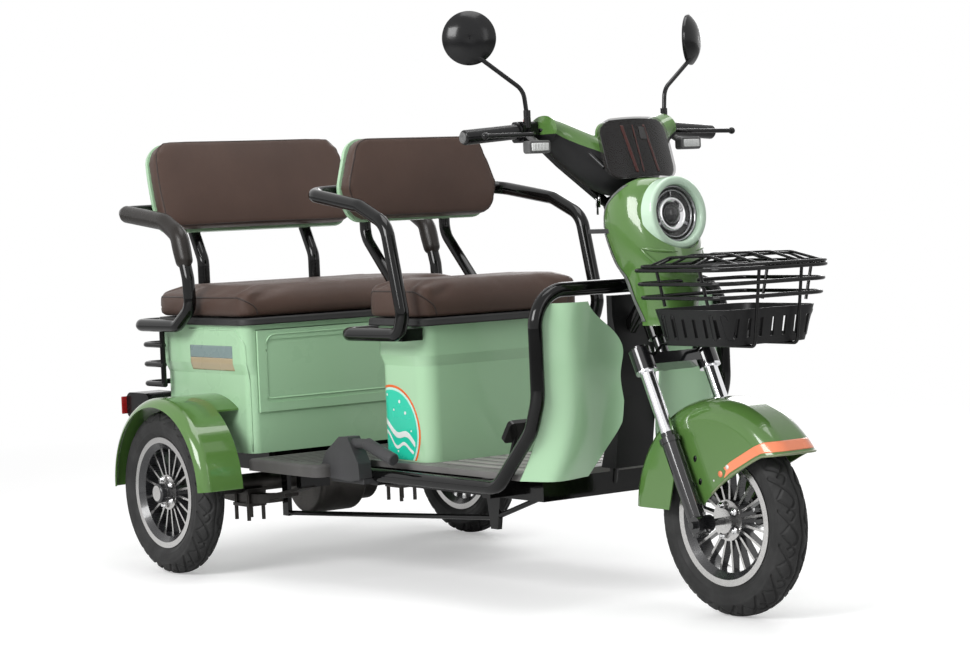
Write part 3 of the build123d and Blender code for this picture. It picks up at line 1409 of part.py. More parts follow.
def low_width(side):
    """Width of the tray's floor."""
    return 2 * (BASKET_HALF - TRAY_INSET) - 2 * side


def basket_tray():
    """Moulded tub with a row of slots round its wall."""
    tray = tray_shape(0, 15, 0, 40) - tray_shape(TRAY_WALL, 15 + TRAY_WALL, TRAY_WALL, 36)
    slots = []
    x0 = BASKET_BACK + TRAY_INSET
    length = BASKET_FRONT - BASKET_BACK - 2 * TRAY_INSET
    middle = x0 + length / 2
    side_count = int((length - 60) / SLOT_PITCH)
    for index in range(side_count + 1):
        x = middle + (index - side_count / 2) * SLOT_PITCH
        side = SLOT_WIDTH / 2
        slots.append(block(x - side, x + side, -BASKET_HALF, BASKET_HALF, SLOT_LOW, SLOT_HIGH))
    end_count = int((2 * BASKET_HALF - 2 * TRAY_INSET - 60) / SLOT_PITCH)
    for index in range(end_count + 1):
        y = (index - end_count / 2) * SLOT_PITCH
        side = SLOT_WIDTH / 2
        slots.append(block(middle, BASKET_FRONT, y - side, y + side, SLOT_LOW, SLOT_HIGH))
    return tray - joined(slots)


def basket_lid():
    """Domed wire lid, hinged along the basket's back rail."""
    x0 = BASKET_BACK + LID_SETBACK
    x1 = BASKET_FRONT
    y = BASKET_HALF
    z = BASKET_TOP + LID_R + RUNNING_GAP
    ring = both_sides(bent_bar([(x0, 0, z), (x0, -y, z), (x1, -y, z), (x1, 0, z)], BASKET_BENDS, LID_R))
    pieces = [ring]
    for index in range(LID_BARS):
        across = (index - (LID_BARS - 1) / 2) * 2 * (y - 40) / (LID_BARS - 1)
        rise = LID_RISE * (1 - (across / (2 * y)) ** 2)
        back, front = x0 + LID_ENDS[0], x1 - LID_ENDS[1]
        arc = [(x0, across, z), (back, across, z + rise * 0.9), (front, across, z + rise), (x1, across, z)]
        pieces.append(bent_bar(arc, list(LID_ENDS), LID_R - 0.5))
    shoulder = y - LID_SHOULDER
    high = z + LID_RISE * 0.75
    for x in (x0 + LID_ENDS[0], x1 - LID_ENDS[1]):
        points = [(x, -y, z), (x, -shoulder, high), (x, shoulder, high), (x, y, z)]
        pieces.append(bent_bar(points, [60, 60], LID_R - 0.5))
    return joined(pieces)


# ================================================================ front fender
def fender_dome(inset):
    """Solid inside the fender's outer or inner skin: a drum on the wheel's axis with rounded rims."""
    half = FRONT_FENDER_HALF - inset
    drum = cross_rod((WHEELBASE, 0, TYRE_R), half, FRONT_FENDER_R - inset)
    return fillet(drum.edges(), FRONT_FENDER_ROUND - inset)


def front_fender():
    """Domed guard whose side skirts reach down beside the fork legs, with a flap behind the wheel."""
    half = FRONT_FENDER_HALF
    shell = fender_dome(0) - fender_dome(FRONT_FENDER_WALL)
    x = WHEELBASE
    z = TYRE_R
    keep_out = x + FRONT_FENDER_R + 20
    below = z - FRONT_FENDER_R
    front = [(keep_out, z + 150), (x + 216, z + 152)]
    edge = Spline(
        (x + 216, 0, z + 152),
        (x + 166, 0, z + 147),
        (x + 107, 0, z + 120),
        (x + 34, 0, z + 78),
        (x - 18, 0, z + 36),
    )
    rear = [
        (x - 18, z + 36),
        (x - 40, z + 62),
        (x - 84, z + 138),
        (x - 112, z + 84),
        (x - 130, z + 18),
        (x - 262, z + 18),
        (x - 300, below),
        (keep_out, below),
        (keep_out, z + 150),
    ]
    lines = Polyline(*[(px, 0, pz) for px, pz in rear])
    top = Polyline(*[(px, 0, pz) for px, pz in front])
    cutter = extrude(make_face([edge, lines, top]), amount=2 * half + 10, dir=(0, 1, 0))
    return shell - Pos(0, -half - 5, 0) * cutter


def brake_cables():
    """Cables from the lever perches, along the bar cover and down into the cowl."""
    y0 = -GRIP_INNER + 2 + CONTROL_WIDTH
    points = [
        (BAR_X + 24, y0, BAR_Z + 2),
        (BAR_X + 60, y0 + 14, BAR_Z + 6),
        (BAR_X + 84, y0 + 40, BAR_Z - 16),
        (BAR_X + 118, y0 + 66, BAR_Z - 52),
        (BAR_X + 150, y0 + 80, BAR_Z - 84),
    ]
    radii = [22.0, 40.0, 60.0]
    return both_sides(bent_bar(points, radii, CABLE_R))


# ================================================================ export
PIECES = {
    "main_frame": main_frame,
    "leg_guard": leg_guard,
    "leg_shields": leg_shields,
    "column_cover": column_cover,
    "front_floorboard": front_floorboard,
    "rear_step": rear_step,
    "hand_brake": hand_brake,
    "brake_pedal": brake_pedal,
    "front_seat_box": front_seat_box,
    "battery": battery,
    "front_seat_cushion": front_seat_cushion,
    "front_backrest_pad": front_backrest_pad,
    "front_backrest_shell": front_backrest_shell,
    "front_arm_frame": front_arm_frame,
    "rear_box": rear_box,
    "rear_box_door": rear_box_door,
    "rear_seat_cushion": rear_seat_cushion,
    "rear_backrest_pad": rear_backrest_pad,
    "rear_backrest_shell": rear_backrest_shell,
    "rear_back_frame": rear_back_frame,
    "rear_arm_right": rear_arm_right,
    "rear_arm_left": rear_arm_left,
    "rear_arm_pads": rear_arm_pads,
    "tail_lamps": tail_lamps,
    "rear_fenders": rear_fenders,
    "rear_axle": rear_axle,
    "leaf_springs": leaf_springs,
    "fork": fork,
    "handlebar": handlebar,
    "grips": grips,
    "bar_controls": bar_controls,
    "brake_cables": brake_cables,
    "mirrors": mirrors,
    "turn_signals": turn_signals,
    "display_visor": display_visor,
    "bar_cover_lower": bar_cover_lower,
    "bar_cover_upper": bar_cover_upper,
    "head_cowl": head_cowl,
    "headlight_bezel": headlight_bezel,
    "headlight_lamp": headlight_lamp,
    "basket_wire": basket_wire,
    "basket_tray": basket_tray,
    "basket_lid": basket_lid,
    "front_fender": front_fender,
    "front_tyre": front_tyre,
    "front_rim": front_rim,
    "rear_tyre_right": rear_tyre_right,
    "rear_rim_right": rear_rim_right,
    "rear_tyre_left": rear_tyre_left,
    "rear_rim_left": rear_rim_left,
}

# Each piece on the left is cut to fit round the pieces on its right.
NOTCHED_BY = {
    "leg_guard": ["main_frame"],
    "leg_shields": ["leg_guard", "main_frame", "front_floorboard"],
    "front_floorboard": ["main_frame", "brake_pedal"],
    "rear_step": ["main_frame"],
    "hand_brake": ["rear_step", "leg_guard", "main_frame"],
    "column_cover": ["main_frame", "leg_guard", "front_floorboard", "leg_shields"],
    "front_arm_frame": ["front_seat_box"],
    "front_backrest_shell": ["front_arm_frame"],
    "rear_back_frame": ["main_frame", "rear_backrest_pad"],
    "rear_backrest_shell": ["rear_back_frame"],
    "rear_arm_right": ["rear_back_frame", "rear_box"],
    "rear_arm_left": ["rear_back_frame", "rear_box"],
    "rear_arm_pads": ["rear_arm_right", "rear_arm_left"],
    "rear_fenders": ["rear_box"],
    "rear_axle": ["leaf_springs"],
    "leaf_springs": ["main_frame"],
    "bar_controls": ["handlebar"],
    "brake_cables": ["bar_controls", "bar_cover_lower", "bar_cover_upper"],
    "mirrors": ["bar_controls"],
    "turn_signals": ["bar_controls"],
    "bar_cover_lower": ["fork", "head_cowl", "bar_controls", "turn_signals", "display_visor"],
    "bar_cover_upper": ["fork", "bar_controls", "display_visor"],
    "head_cowl": ["headlight_bezel", "headlight_lamp", "fork"],
    "headlight_bezel": ["headlight_lamp"],
    "front_fender": ["fork"],
    "basket_wire": ["fork", "head_cowl"],
    "basket_tray": ["basket_wire"],
    "front_tyre": ["front_rim"],
    "rear_tyre_right": ["rear_rim_right"],
    "rear_tyre_left": ["rear_rim_left"],
}


def assembled():
    """Every piece by name, each cut to fit its neighbours."""
    solids = {name: make() for name, make in PIECES.items()}
    for name, others in NOTCHED_BY.items():
        for other in others:
            solids[name] = solids[name] - solids[other]
    return solids


os.makedirs("parts", exist_ok=True)
for name, solid in assembled().items():
    export_step(Pos(-MIDDLE_X, 0, 0) * solid, f"parts/{name}.step")
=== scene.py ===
"""Looks of the electric tricycle: finishes, soft seats, tyres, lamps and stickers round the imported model.

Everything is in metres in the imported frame: X forward, Y to the left, Z up, the origin under the middle.
"""

import math

import bmesh
import bpy
import numpy as np
from mathutils import Matrix, Vector
from mathutils.bvhtree import BVHTree


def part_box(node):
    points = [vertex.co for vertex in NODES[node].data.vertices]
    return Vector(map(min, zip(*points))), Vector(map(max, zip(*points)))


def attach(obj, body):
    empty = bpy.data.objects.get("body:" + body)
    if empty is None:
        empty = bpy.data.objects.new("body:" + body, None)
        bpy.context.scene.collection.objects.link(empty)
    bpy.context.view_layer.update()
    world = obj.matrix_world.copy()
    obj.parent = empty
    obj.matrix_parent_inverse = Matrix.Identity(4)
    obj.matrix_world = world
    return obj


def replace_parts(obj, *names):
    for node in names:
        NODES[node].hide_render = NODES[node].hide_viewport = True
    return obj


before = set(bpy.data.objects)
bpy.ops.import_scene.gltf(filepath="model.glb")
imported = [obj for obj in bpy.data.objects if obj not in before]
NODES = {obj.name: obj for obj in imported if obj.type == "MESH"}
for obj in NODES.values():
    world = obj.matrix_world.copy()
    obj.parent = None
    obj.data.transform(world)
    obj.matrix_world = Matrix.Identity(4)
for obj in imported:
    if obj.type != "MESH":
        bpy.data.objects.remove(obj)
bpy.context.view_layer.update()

# ---------------------------------------------------------------- driving sizes, metres
AXLE_TO_MIDDLE = 0.7004149
WHEELBASE = 1.582
TYRE_R = 0.206
TRACK_HALF = 0.458
RAKE = math.radians(25.3)
HANDS = {-1: "right", 1: "left"}


def at(x, y, z):
    """Point given in millimetres ahead of the rear axle, to the left and up."""
    return Vector((x / 1000 - AXLE_TO_MIDDLE, y / 1000, z / 1000))


# ---------------------------------------------------------------- node helpers
class Graph:
    """Short way to add and link the nodes of one material."""

    def __init__(self, name):
        self.material = bpy.data.materials.new(name)
        self.material.use_nodes = True
        self.tree = self.material.node_tree
        self.bsdf = self.tree.nodes["Principled BSDF"]
        self.coords = self.tree.nodes.new("ShaderNodeTexCoord").outputs["Object"]

    def add(self, kind, inputs=None, **settings):
        node = self.tree.nodes.new(kind)
        for key, value in settings.items():
            setattr(node, key, value)
        for key, value in (inputs or {}).items():
            self.feed(node.inputs[key], value)
        return node

    def feed(self, socket, value):
        if isinstance(value, bpy.types.NodeSocket):
            self.tree.links.new(value, socket)
        else:
            socket.default_value = value

    def math(self, operation, a, b=0.0, clamp=False):
        return self.add("ShaderNodeMath", {0: a, 1: b}, operation=operation, use_clamp=clamp).outputs[0]

    def noise(self, scale, detail=4.0, rough=0.5, coords=None):
        inputs = {"Vector": coords or self.coords, "Scale": scale, "Detail": detail, "Roughness": rough}
        return self.add("ShaderNodeTexNoise", inputs).outputs["Fac"]

    def cells(self, scale, feature="F1"):
        inputs = {"Vector": self.coords, "Scale": scale}
        return self.add("ShaderNodeTexVoronoi", inputs, feature=feature).outputs["Distance"]

    def ramp(self, value, low, high, out_low=0.0, out_high=1.0):
        inputs = {"Value": value, "From Min": low, "From Max": high, "To Min": out_low, "To Max": out_high}
        return self.add("ShaderNodeMapRange", inputs).outputs["Result"]

    def mix(self, factor, a, b, blend="MIX"):
        node = self.add("ShaderNodeMix", {0: factor}, data_type="RGBA", blend_type=blend)
        self.feed(node.inputs[6], a)
        self.feed(node.inputs[7], b)
        return node.outputs[2]

    def axis(self, index, coords=None):
        return self.add("ShaderNodeSeparateXYZ", {0: coords or self.coords}).outputs[index]

    def bump(self, height, strength, distance, normal=None):
        inputs = {"Height": height, "Strength": strength, "Distance": distance}
        if normal is not None:
            inputs["Normal"] = normal
        return self.add("ShaderNodeBump", inputs).outputs["Normal"]

    def finish(self, **inputs):
        for key, value in inputs.items():
            self.feed(self.bsdf.inputs[key.replace("_", " ")], value)
        return self.material


def rgb(r, g, b):
    return (r, g, b, 1.0)


def scaled(colour, factor):
    return rgb(*(min(1.0, c * factor) for c in colour[:3]))


def gloss(name, colour, rough=0.22, coat=0.45, ripple=0.04, spread=0.015):
    """Gloss paint or shiny plastic: slight colour drift, faint ripple and smudges under a clear coat."""
    g = Graph(name)
    drift = g.ramp(g.noise(3.0, 2.0), 0.3, 0.7)
    tint = g.mix(drift, scaled(colour, 1 - spread), scaled(colour, 1 + spread))
    smudge = g.ramp(g.noise(9.0, 5.0), 0.35, 0.75, rough * 0.95, rough * 1.08)
    normal = g.bump(g.noise(55.0, 1.0), ripple, 0.002)
    g.finish(Base_Color=tint, Roughness=smudge, Normal=normal, Specular_IOR_Level=0.22)
    return g.finish(Coat_Weight=coat, Coat_Roughness=0.04, Coat_IOR=1.5)


def enamel(name, colour, rough=0.16):
    """Black stoved enamel: deep gloss with faint orange peel and handling marks."""
    g = Graph(name)
    marks = g.ramp(g.noise(12.0, 6.0), 0.4, 0.75)
    tint = g.mix(marks, colour, scaled(colour, 1.5))
    roughness = g.ramp(g.noise(26.0, 4.0), 0.3, 0.7, rough * 0.75, rough * 1.4)
    peel = g.bump(g.noise(160.0, 1.0), 0.06, 0.0008)
    return g.finish(Base_Color=tint, Roughness=roughness, Normal=peel, Specular_IOR_Level=0.3)


def grained(name, colour, rough=0.5, scale=900.0, depth=0.25, spread=0.12):
    """Moulded plastic with a fine pebble grain and paler rubbed spots."""
    g = Graph(name)
    pebble = g.cells(scale)
    wear = g.ramp(g.noise(9.0, 6.0), 0.4, 0.72)
    tint = g.mix(wear, scaled(colour, 1 - spread), scaled(colour, 1 + spread))
    roughness = g.ramp(g.noise(20.0, 4.0), 0.3, 0.7, rough * 0.85, rough * 1.2)
    normal = g.bump(pebble, depth, 0.0006)
    return g.finish(Base_Color=tint, Roughness=roughness, Normal=normal, Specular_IOR_Level=0.25)


def metal(name, colour, rough=0.2, scratches=0.04, dirt=0.0):
    """Bare or plated metal with fine polishing marks."""
    g = Graph(name)
    stretched = g.add("ShaderNodeMapping", {"Vector": g.coords, "Scale": (30.0, 30.0, 600.0)}).outputs[0]
    marks = g.noise(4.0, 3.0, coords=stretched)
    grime = g.ramp(g.noise(18.0, 6.0), 0.45, 0.8, 0.0, dirt)
    tint = g.mix(grime, colour, scaled(colour, 0.25))
    roughness = g.ramp(marks, 0.3, 0.7, rough * 0.7, rough * 1.4)
    g.finish(Base_Color=tint, Roughness=roughness, Normal=g.bump(marks, scratches, 0.0004))
    return g.finish(Metallic=1.0)


def leather(name, colour, rough=0.42):
    """Seat vinyl: fine creased grain, worn sheen on the crowns, slight blotches."""
    g = Graph(name)
    warp = g.add("ShaderNodeTexNoise", {"Vector": g.coords, "Scale": 70.0, "Detail": 2.0}).outputs["Color"]
    bent = g.add("ShaderNodeMix", {0: 0.012, 4: g.coords, 5: warp}, data_type="VECTOR").outputs[1]
    creased = {"Vector": bent, "Scale": 520.0}
    edges = g.add("ShaderNodeTexVoronoi", creased, feature="DISTANCE_TO_EDGE").outputs[0]
    pores = g.ramp(edges, 0.0, 0.12)
    blotch = g.ramp(g.noise(6.0, 5.0), 0.3, 0.75)
    tint = g.mix(blotch, scaled(colour, 0.86), scaled(colour, 1.16))
    tint = g.mix(g.math("MULTIPLY", g.math("SUBTRACT", 1.0, pores), 0.35), tint, scaled(colour, 0.45))
    roughness = g.ramp(g.noise(11.0, 4.0), 0.3, 0.7, rough * 0.85, rough * 1.2)
    creases = g.bump(g.noise(28.0, 3.0), 0.12, 0.003)
    g.finish(Base_Color=tint, Roughness=roughness, Normal=g.bump(pores, 0.3, 0.0004, creases))
    return g.finish(Sheen_Weight=0.06, Sheen_Roughness=0.4, Specular_IOR_Level=0.26)


def rubber(name, colour):
    """Tyre rubber: dull, dusty in places, finely textured."""
    g = Graph(name)
    dust = g.ramp(g.noise(16.0, 8.0, 0.6), 0.46, 0.78, 0.0, 0.5)
    tint = g.mix(dust, colour, scaled(colour, 2.6))
    roughness = g.ramp(g.noise(30.0, 5.0), 0.3, 0.7, 0.5, 0.72)
    grain = g.bump(g.noise(900.0, 3.0), 0.12, 0.0005)
    return g.finish(Base_Color=tint, Roughness=roughness, Normal=grain, Specular_IOR_Level=0.25)


def cast_alloy(name):
    """Wheel: machined bright faces toward the sides, dark grey paint between and behind them."""
    g = Graph(name)
    normals = g.tree.nodes.new("ShaderNodeTexCoord").outputs["Normal"]
    facing = g.math("ABSOLUTE", g.axis(1, normals))
    bright = g.ramp(facing, 0.93, 0.985)
    rings = g.add("ShaderNodeMapping", {"Vector": g.coords, "Scale": (1.0, 0.02, 1.0)}).outputs[0]
    lathe = g.noise(700.0, 2.0, coords=rings)
    tint = g.mix(bright, rgb(0.018, 0.018, 0.02), rgb(0.62, 0.61, 0.6))
    roughness = g.ramp(lathe, 0.3, 0.7, 0.2, 0.34)
    g.finish(Base_Color=tint, Metallic=bright, Roughness=roughness)
    return g.finish(Normal=g.bump(lathe, 0.05, 0.0003), Coat_Weight=0.5, Coat_Roughness=0.08)


def film(name, colour, alpha):
    """Thin tinted sheet that lets part of the view through, with faint dust."""
    g = Graph(name)
    dust = g.ramp(g.noise(40.0, 6.0), 0.45, 0.8, 0.03, 0.09)
    tint = g.mix(g.ramp(g.noise(5.0, 2.0), 0.3, 0.7), colour, scaled(colour, 1.4))
    return g.finish(Base_Color=tint, Roughness=dust, Alpha=alpha, IOR=1.5)


MINT = rgb(0.40, 0.63, 0.40)
LEAF = rgb(0.088, 0.19, 0.045)
MINT_GLOSS = gloss("mint_gloss", MINT, rough=0.24, coat=0.7)
MINT_PAINT = gloss("mint_paint", scaled(MINT, 0.98), rough=0.28, ripple=0.08)
LEAF_GLOSS = gloss("leaf_gloss", LEAF, rough=0.2, coat=0.8)
BLACK_STEEL = enamel("black_steel", rgb(0.0025, 0.0025, 0.0025), rough=0.09)
BLACK_GRAIN = grained("black_grain", rgb(0.010, 0.010, 0.0105), rough=0.38)
BLACK_SATIN = enamel("black_satin", rgb(0.006, 0.006, 0.0065), rough=0.2)
STEP_GRAIN = grained("step_grain", rgb(0.085, 0.082, 0.08), rough=0.55, depth=0.35)
FLOOR_GRAIN = grained("floor_grain", rgb(0.17, 0.165, 0.16), rough=0.5, depth=0.35)
BRAKE_GRAIN = grained("brake_grain", rgb(0.05, 0.05, 0.052), rough=0.45, depth=0.3)
BROWN_LEATHER = leather("brown_leather", rgb(0.072, 0.042, 0.032))
PAD_SKIN = grained("pad_skin", rgb(0.020, 0.017, 0.015), rough=0.28, scale=1400.0, depth=0.15)
TYRE_RUBBER = rubber("tyre_rubber", rgb(0.022, 0.022, 0.022))
ALLOY = cast_alloy("cast_alloy")
CHROME = metal("chrome", rgb(0.82, 0.82, 0.83), rough=0.07, scratches=0.01)
DARK_IRON = metal("dark_iron", rgb(0.09, 0.085, 0.08), rough=0.45, scratches=0.2, dirt=0.7)
CASE_PLASTIC = grained("case_plastic", rgb(0.05, 0.06, 0.07))
# Headlamp bezel: the body's mint, made paler all over by a painted highlight.
MINT_RING_PAINTED_HIGHLIGHT = gloss("pale_ring", rgb(0.56, 0.74, 0.58), rough=0.25)
SMOKED = film("smoked_screen", rgb(0.012, 0.009, 0.008), 0.34)
RED_LENS = gloss("red_lens", rgb(0.30, 0.012, 0.012), rough=0.15, ripple=0.4)
GREY_TRIM = grained("grey_trim", rgb(0.12, 0.12, 0.12), rough=0.4)


def fork_finish():
    """Chromed stanchions above the seals, black castings below them."""
    g = Graph("fork_finish")
    x, y, z = (g.axis(index) for index in range(3))
    clamp = at(1383.0, 0.0, 535.0)
    along_x = g.math("MULTIPLY", g.math("SUBTRACT", x, clamp.x), math.sin(RAKE))
    along_z = g.math("MULTIPLY", g.math("SUBTRACT", z, clamp.z), -math.cos(RAKE))
    down = g.math("ADD", along_x, along_z)
    off_middle = g.math("GREATER_THAN", g.math("ABSOLUTE", y), 0.07)
    shown = g.math("MULTIPLY", g.math("GREATER_THAN", down, 0.026), g.math("LESS_THAN", down, 0.17))
    chromed = g.math("MULTIPLY", shown, off_middle)
    tint = g.mix(chromed, rgb(0.009, 0.009, 0.01), rgb(0.8, 0.8, 0.82))
    roughness = g.ramp(g.noise(20.0, 4.0), 0.3, 0.7, 0.08, 0.18)
    g.finish(Base_Color=tint, Metallic=chromed, Roughness=roughness)
    return g.finish(Coat_Weight=0.6, Coat_Roughness=0.04, Normal=g.bump(g.noise(80.0, 2.0), 0.04, 0.001))


FINISHES = {
    BLACK_STEEL: [
        "main_frame", "leg_guard", "brake_pedal", "front_arm_frame", "rear_back_frame", "rear_arm_right",
        "rear_arm_left", "handlebar", "basket_wire", "basket_lid",
    ],
    MINT_GLOSS: ["leg_shields", "front_seat_box", "front_backrest_shell", "rear_backrest_shell"],
    MINT_PAINT: ["rear_box", "rear_box_door"],
    LEAF_GLOSS: ["rear_fenders", "bar_cover_upper", "head_cowl", "front_fender"],
    BLACK_GRAIN: ["column_cover", "bar_cover_lower", "basket_tray"],
    BLACK_SATIN: ["grips", "bar_controls", "mirrors", "brake_cables", "tail_lamps"],
    FLOOR_GRAIN: ["front_floorboard"],
    STEP_GRAIN: ["rear_step"],
    BRAKE_GRAIN: ["hand_brake"],
    BROWN_LEATHER: ["front_seat_cushion", "rear_seat_cushion", "front_backrest_pad", "rear_backrest_pad"],
    PAD_SKIN: ["rear_arm_pads"],
    TYRE_RUBBER: ["front_tyre", "rear_tyre_right", "rear_tyre_left"],
    ALLOY: ["front_rim", "rear_rim_right", "rear_rim_left"],
    fork_finish(): ["fork"],
    DARK_IRON: ["rear_axle", "leaf_springs"],
    CASE_PLASTIC: ["battery"],
    SMOKED: ["display_visor"],
    CHROME: ["headlight_lamp"],
    MINT_RING_PAINTED_HIGHLIGHT: ["headlight_bezel"],
    GREY_TRIM: ["turn_signals"],
}


def dress(mesh, material):
    """Gives a mesh one finish all over."""
    mesh.materials.clear()
    mesh.materials.append(material)


for finish, names in FINISHES.items():
    for name in names:
        dress(NODES[name].data, finish)


# ================================================================ shape helpers
THROW = 0.3


def new_piece(name, vertices, faces, material, body, slot):
    """Mesh object that rides on a body."""
    mesh = bpy.data.meshes.new(name)
    mesh.from_pydata([tuple(v) for v in vertices], [], faces)
    mesh.validate()
    return placed(name, mesh, material, body, slot)


def placed(name, mesh, material, body, slot):
    """Puts a finished mesh in the scene with its finish and on its body; the slot is not used."""
    dress(mesh, material)
    tidy = bmesh.new()
    tidy.from_mesh(mesh)
    bmesh.ops.recalc_face_normals(tidy, faces=tidy.faces)
    tidy.to_mesh(mesh)
    tidy.free()
    mesh.polygons.foreach_set("use_smooth", [True] * len(mesh.polygons))
    piece = bpy.data.objects.new(name, mesh)
    bpy.context.scene.collection.objects.link(piece)
    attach(piece, body)
    return piece


def mm(points):
    """Profile points given in millimetres."""
    return [(along / 1000, radius / 1000) for along, radius in points]


def merged(parts):
    """One vertex and face list from several."""
    vertices, faces = [], []
    for part_vertices, part_faces in parts:
        start = len(vertices)
        vertices += [tuple(v) for v in part_vertices]
        faces += [tuple(index + start for index in face) for face in part_faces]
    return vertices, faces


def curved(points, steps=8):
    """Smooth line through the points (Catmull-Rom)."""
    points = [Vector(p) for p in points]
    padded = [2 * points[0] - points[1]] + points + [2 * points[-1] - points[-2]]
    line = []
    for index in range(len(points) - 1):
        a, b, c, d = padded[index:index + 4]
        for step in range(steps):
            t = step / steps
            bend = (2 * a - 5 * b + 4 * c - d) * t * t + (3 * b - a - 3 * c + d) * t ** 3
            line.append(0.5 * (2 * b + (c - a) * t + bend))
    return line + [points[-1]]


def rounded(points, radii, steps=6):
    """Straight runs joined by arcs of the given radii."""
    points = [Vector(p) for p in points]
    line = [points[0]]
    for before, corner, after, radius in zip(points, points[1:], points[2:], radii):
        back, ahead = (before - corner).normalized(), (after - corner).normalized()
        half = back.angle(ahead) / 2
        reach = min(radius / math.tan(half), (before - corner).length * 0.49, (after - corner).length * 0.49)
        start, end = corner + back * reach, corner + ahead * reach
        for step in range(steps + 1):
            t = step / steps
            line.append((1 - t) ** 2 * start + 2 * t * (1 - t) * corner + t * t * end)
    return line + [points[-1]]


def evenly(line, gap):
    """The same line with points about a set gap apart."""
    line = [Vector(p) for p in line]
    reached = np.cumsum([0.0] + [(b - a).length for a, b in zip(line, line[1:])])
    count = max(2, round(reached[-1] / gap))
    wanted = np.linspace(0.0, reached[-1], count + 1)
    columns = [np.interp(wanted, reached, [p[axis] for p in line]) for axis in range(3)]
    return [Vector(p) for p in zip(*columns)]


def turns(count):
    """Angles of evenly spaced points round a circle."""
    return [2 * math.pi * index / count for index in range(count)]


def ring_faces(rows, sides, closed=False):
    """Faces between rows of ring points, capped at both ends unless the last row meets the first."""
    faces = []
    for row in range(rows if closed else rows - 1):
        a, b = row * sides, (row + 1) % rows * sides
        for index in range(sides):
            after = (index + 1) % sides
            faces.append((a + index, a + after, b + after, b + index))
    if not closed:
        faces.append(tuple(range(sides))[::-1])
        faces.append(tuple(range((rows - 1) * sides, rows * sides)))
    return faces


def tube(line, radius, sides=10, flat=1.0, closed=False):
    """Round or oval tube along a line; radius is one number or one for each point."""
    line = [Vector(p) for p in line]
    count = len(line)
    radii = radius if isinstance(radius, (list, tuple)) else [radius] * count
    vertices = []
    for index, point in enumerate(line):
        if closed:
            along = line[(index + 1) % count] - line[index - 1]
        else:
            along = line[min(index + 1, count - 1)] - line[max(index - 1, 0)]
        along.normalize()
        across = along.cross(Vector((0, 0, 1)))
        if across.length < 1e-3:
            across = along.cross(Vector((0, 1, 0)))
        across.normalize()
        lift = across.cross(along)
        for angle in turns(sides):
            offset = across * math.cos(angle) * flat + lift * math.sin(angle)
            vertices.append(point + offset * radii[index])
    return vertices, ring_faces(count, sides, closed)


def lathe(profile, centre, axis, sides=48, closed=False):
    """Turned shape from (along, radius) points about an axis."""
    axis = Vector(axis).normalized()
    across = axis.orthogonal().normalized()
    other = axis.cross(across)
    vertices = []
    for along, radius in profile:
        for angle in turns(sides):
            ring = across * math.cos(angle) + other * math.sin(angle)
            vertices.append(Vector(centre) + axis * along + ring * radius)
    return vertices, ring_faces(len(profile), sides, closed)


def rounded_block(centre, size, bevel, turn=None):
    """Box with rounded edges, optionally turned by a matrix."""
    solid = bmesh.new()
    bmesh.ops.create_cube(solid, size=1.0)
    bmesh.ops.scale(solid, vec=size, verts=solid.verts)
    edges = list(solid.edges)
    bmesh.ops.bevel(solid, geom=edges, offset=bevel, segments=3, profile=0.5, affect="EDGES")
    if turn is not None:
        bmesh.ops.rotate(solid, cent=(0, 0, 0), matrix=turn, verts=solid.verts)
    bmesh.ops.translate(solid, vec=centre, verts=solid.verts)
    return taken(solid)


def taken(shape):
    """Vertex and face list of a bmesh, which is then freed."""
    shape.verts.index_update()
    vertices = [v.co.copy() for v in shape.verts]
    faces = [tuple(v.index for v in face.verts) for face in shape.faces]
    shape.free()
    return vertices, faces


def thick(vertices, faces, amount):
    """Closed thin solid grown from a sheet."""
    sheet = bmesh.new()
    points = [sheet.verts.new(v) for v in vertices]
    for face in faces:
        sheet.faces.new([points[i] for i in face])
    bmesh.ops.recalc_face_normals(sheet, faces=sheet.faces)
    bmesh.ops.solidify(sheet, geom=list(sheet.faces), thickness=amount)
    return taken(sheet)


def surface_of(thing):
    """Search tree over a CAD node's or a piece's surface, facing outward."""
    mesh = NODES[thing].data if isinstance(thing, str) else thing.data
    shell = bmesh.new()
    shell.from_mesh(mesh)
    tree = BVHTree.FromBMesh(shell)
    shell.free()
    return tree


def struck(tree, start, direction, reach):
    """Where a thrown point meets a surface, and the normal there that faces the thrower."""
    place, normal = tree.ray_cast(start, direction, reach)[:2]
    if place is not None and normal.dot(direction) > 0:
        normal = -normal
    return place, normal


def laid_on(tree, points, direction, lift):
    """Points thrown along a direction onto a surface and lifted off it; misses stay out as None."""
    direction = Vector(direction).normalized()
    found = []
    for point in points:
        place, normal = struck(tree, Vector(point) - direction * THROW, direction, 2 * THROW)
        found.append(None if place is None else place + normal * lift)
    return found


def met(found):
    """Found points without the misses."""
    return [point for point in found if point is not None]


def netted(found, columns, rows, wanted=None):
    """Sheet over a grid of found points: faces whose corners were all met and that are wanted."""
    faces = []
    for j in range(rows):
        for i in range(columns):
            first, above = j * (columns + 1) + i, (j + 1) * (columns + 1) + i
            corners = (first, first + 1, above + 1, above)
            if all(found[c] is not None for c in corners) and (wanted is None or wanted(i, j)):
                faces.append(corners)
    used = sorted({c for face in faces for c in face})
    number = {c: n for n, c in enumerate(used)}
    return [found[c] for c in used], [tuple(number[c] for c in face) for face in faces]


def sticker(tree, inside, spans, steps, frame_of, direction, lift=0.0006):
    """Small faces over a surface wherever inside(u, v) holds; frame_of(u, v) gives the point thrown."""
    (u0, u1), (v0, v1) = spans
    nu, nv = steps
    points = [
        frame_of(u0 + (u1 - u0) * i / nu, v0 + (v1 - v0) * j / nv)
        for j in range(nv + 1) for i in range(nu + 1)
    ]
    found = laid_on(tree, points, direction, lift)

    def wanted(i, j):
        return inside(u0 + (u1 - u0) * (i + 0.5) / nu, v0 + (v1 - v0) * (j + 0.5) / nv)

    return netted(found, nu, nv, wanted)


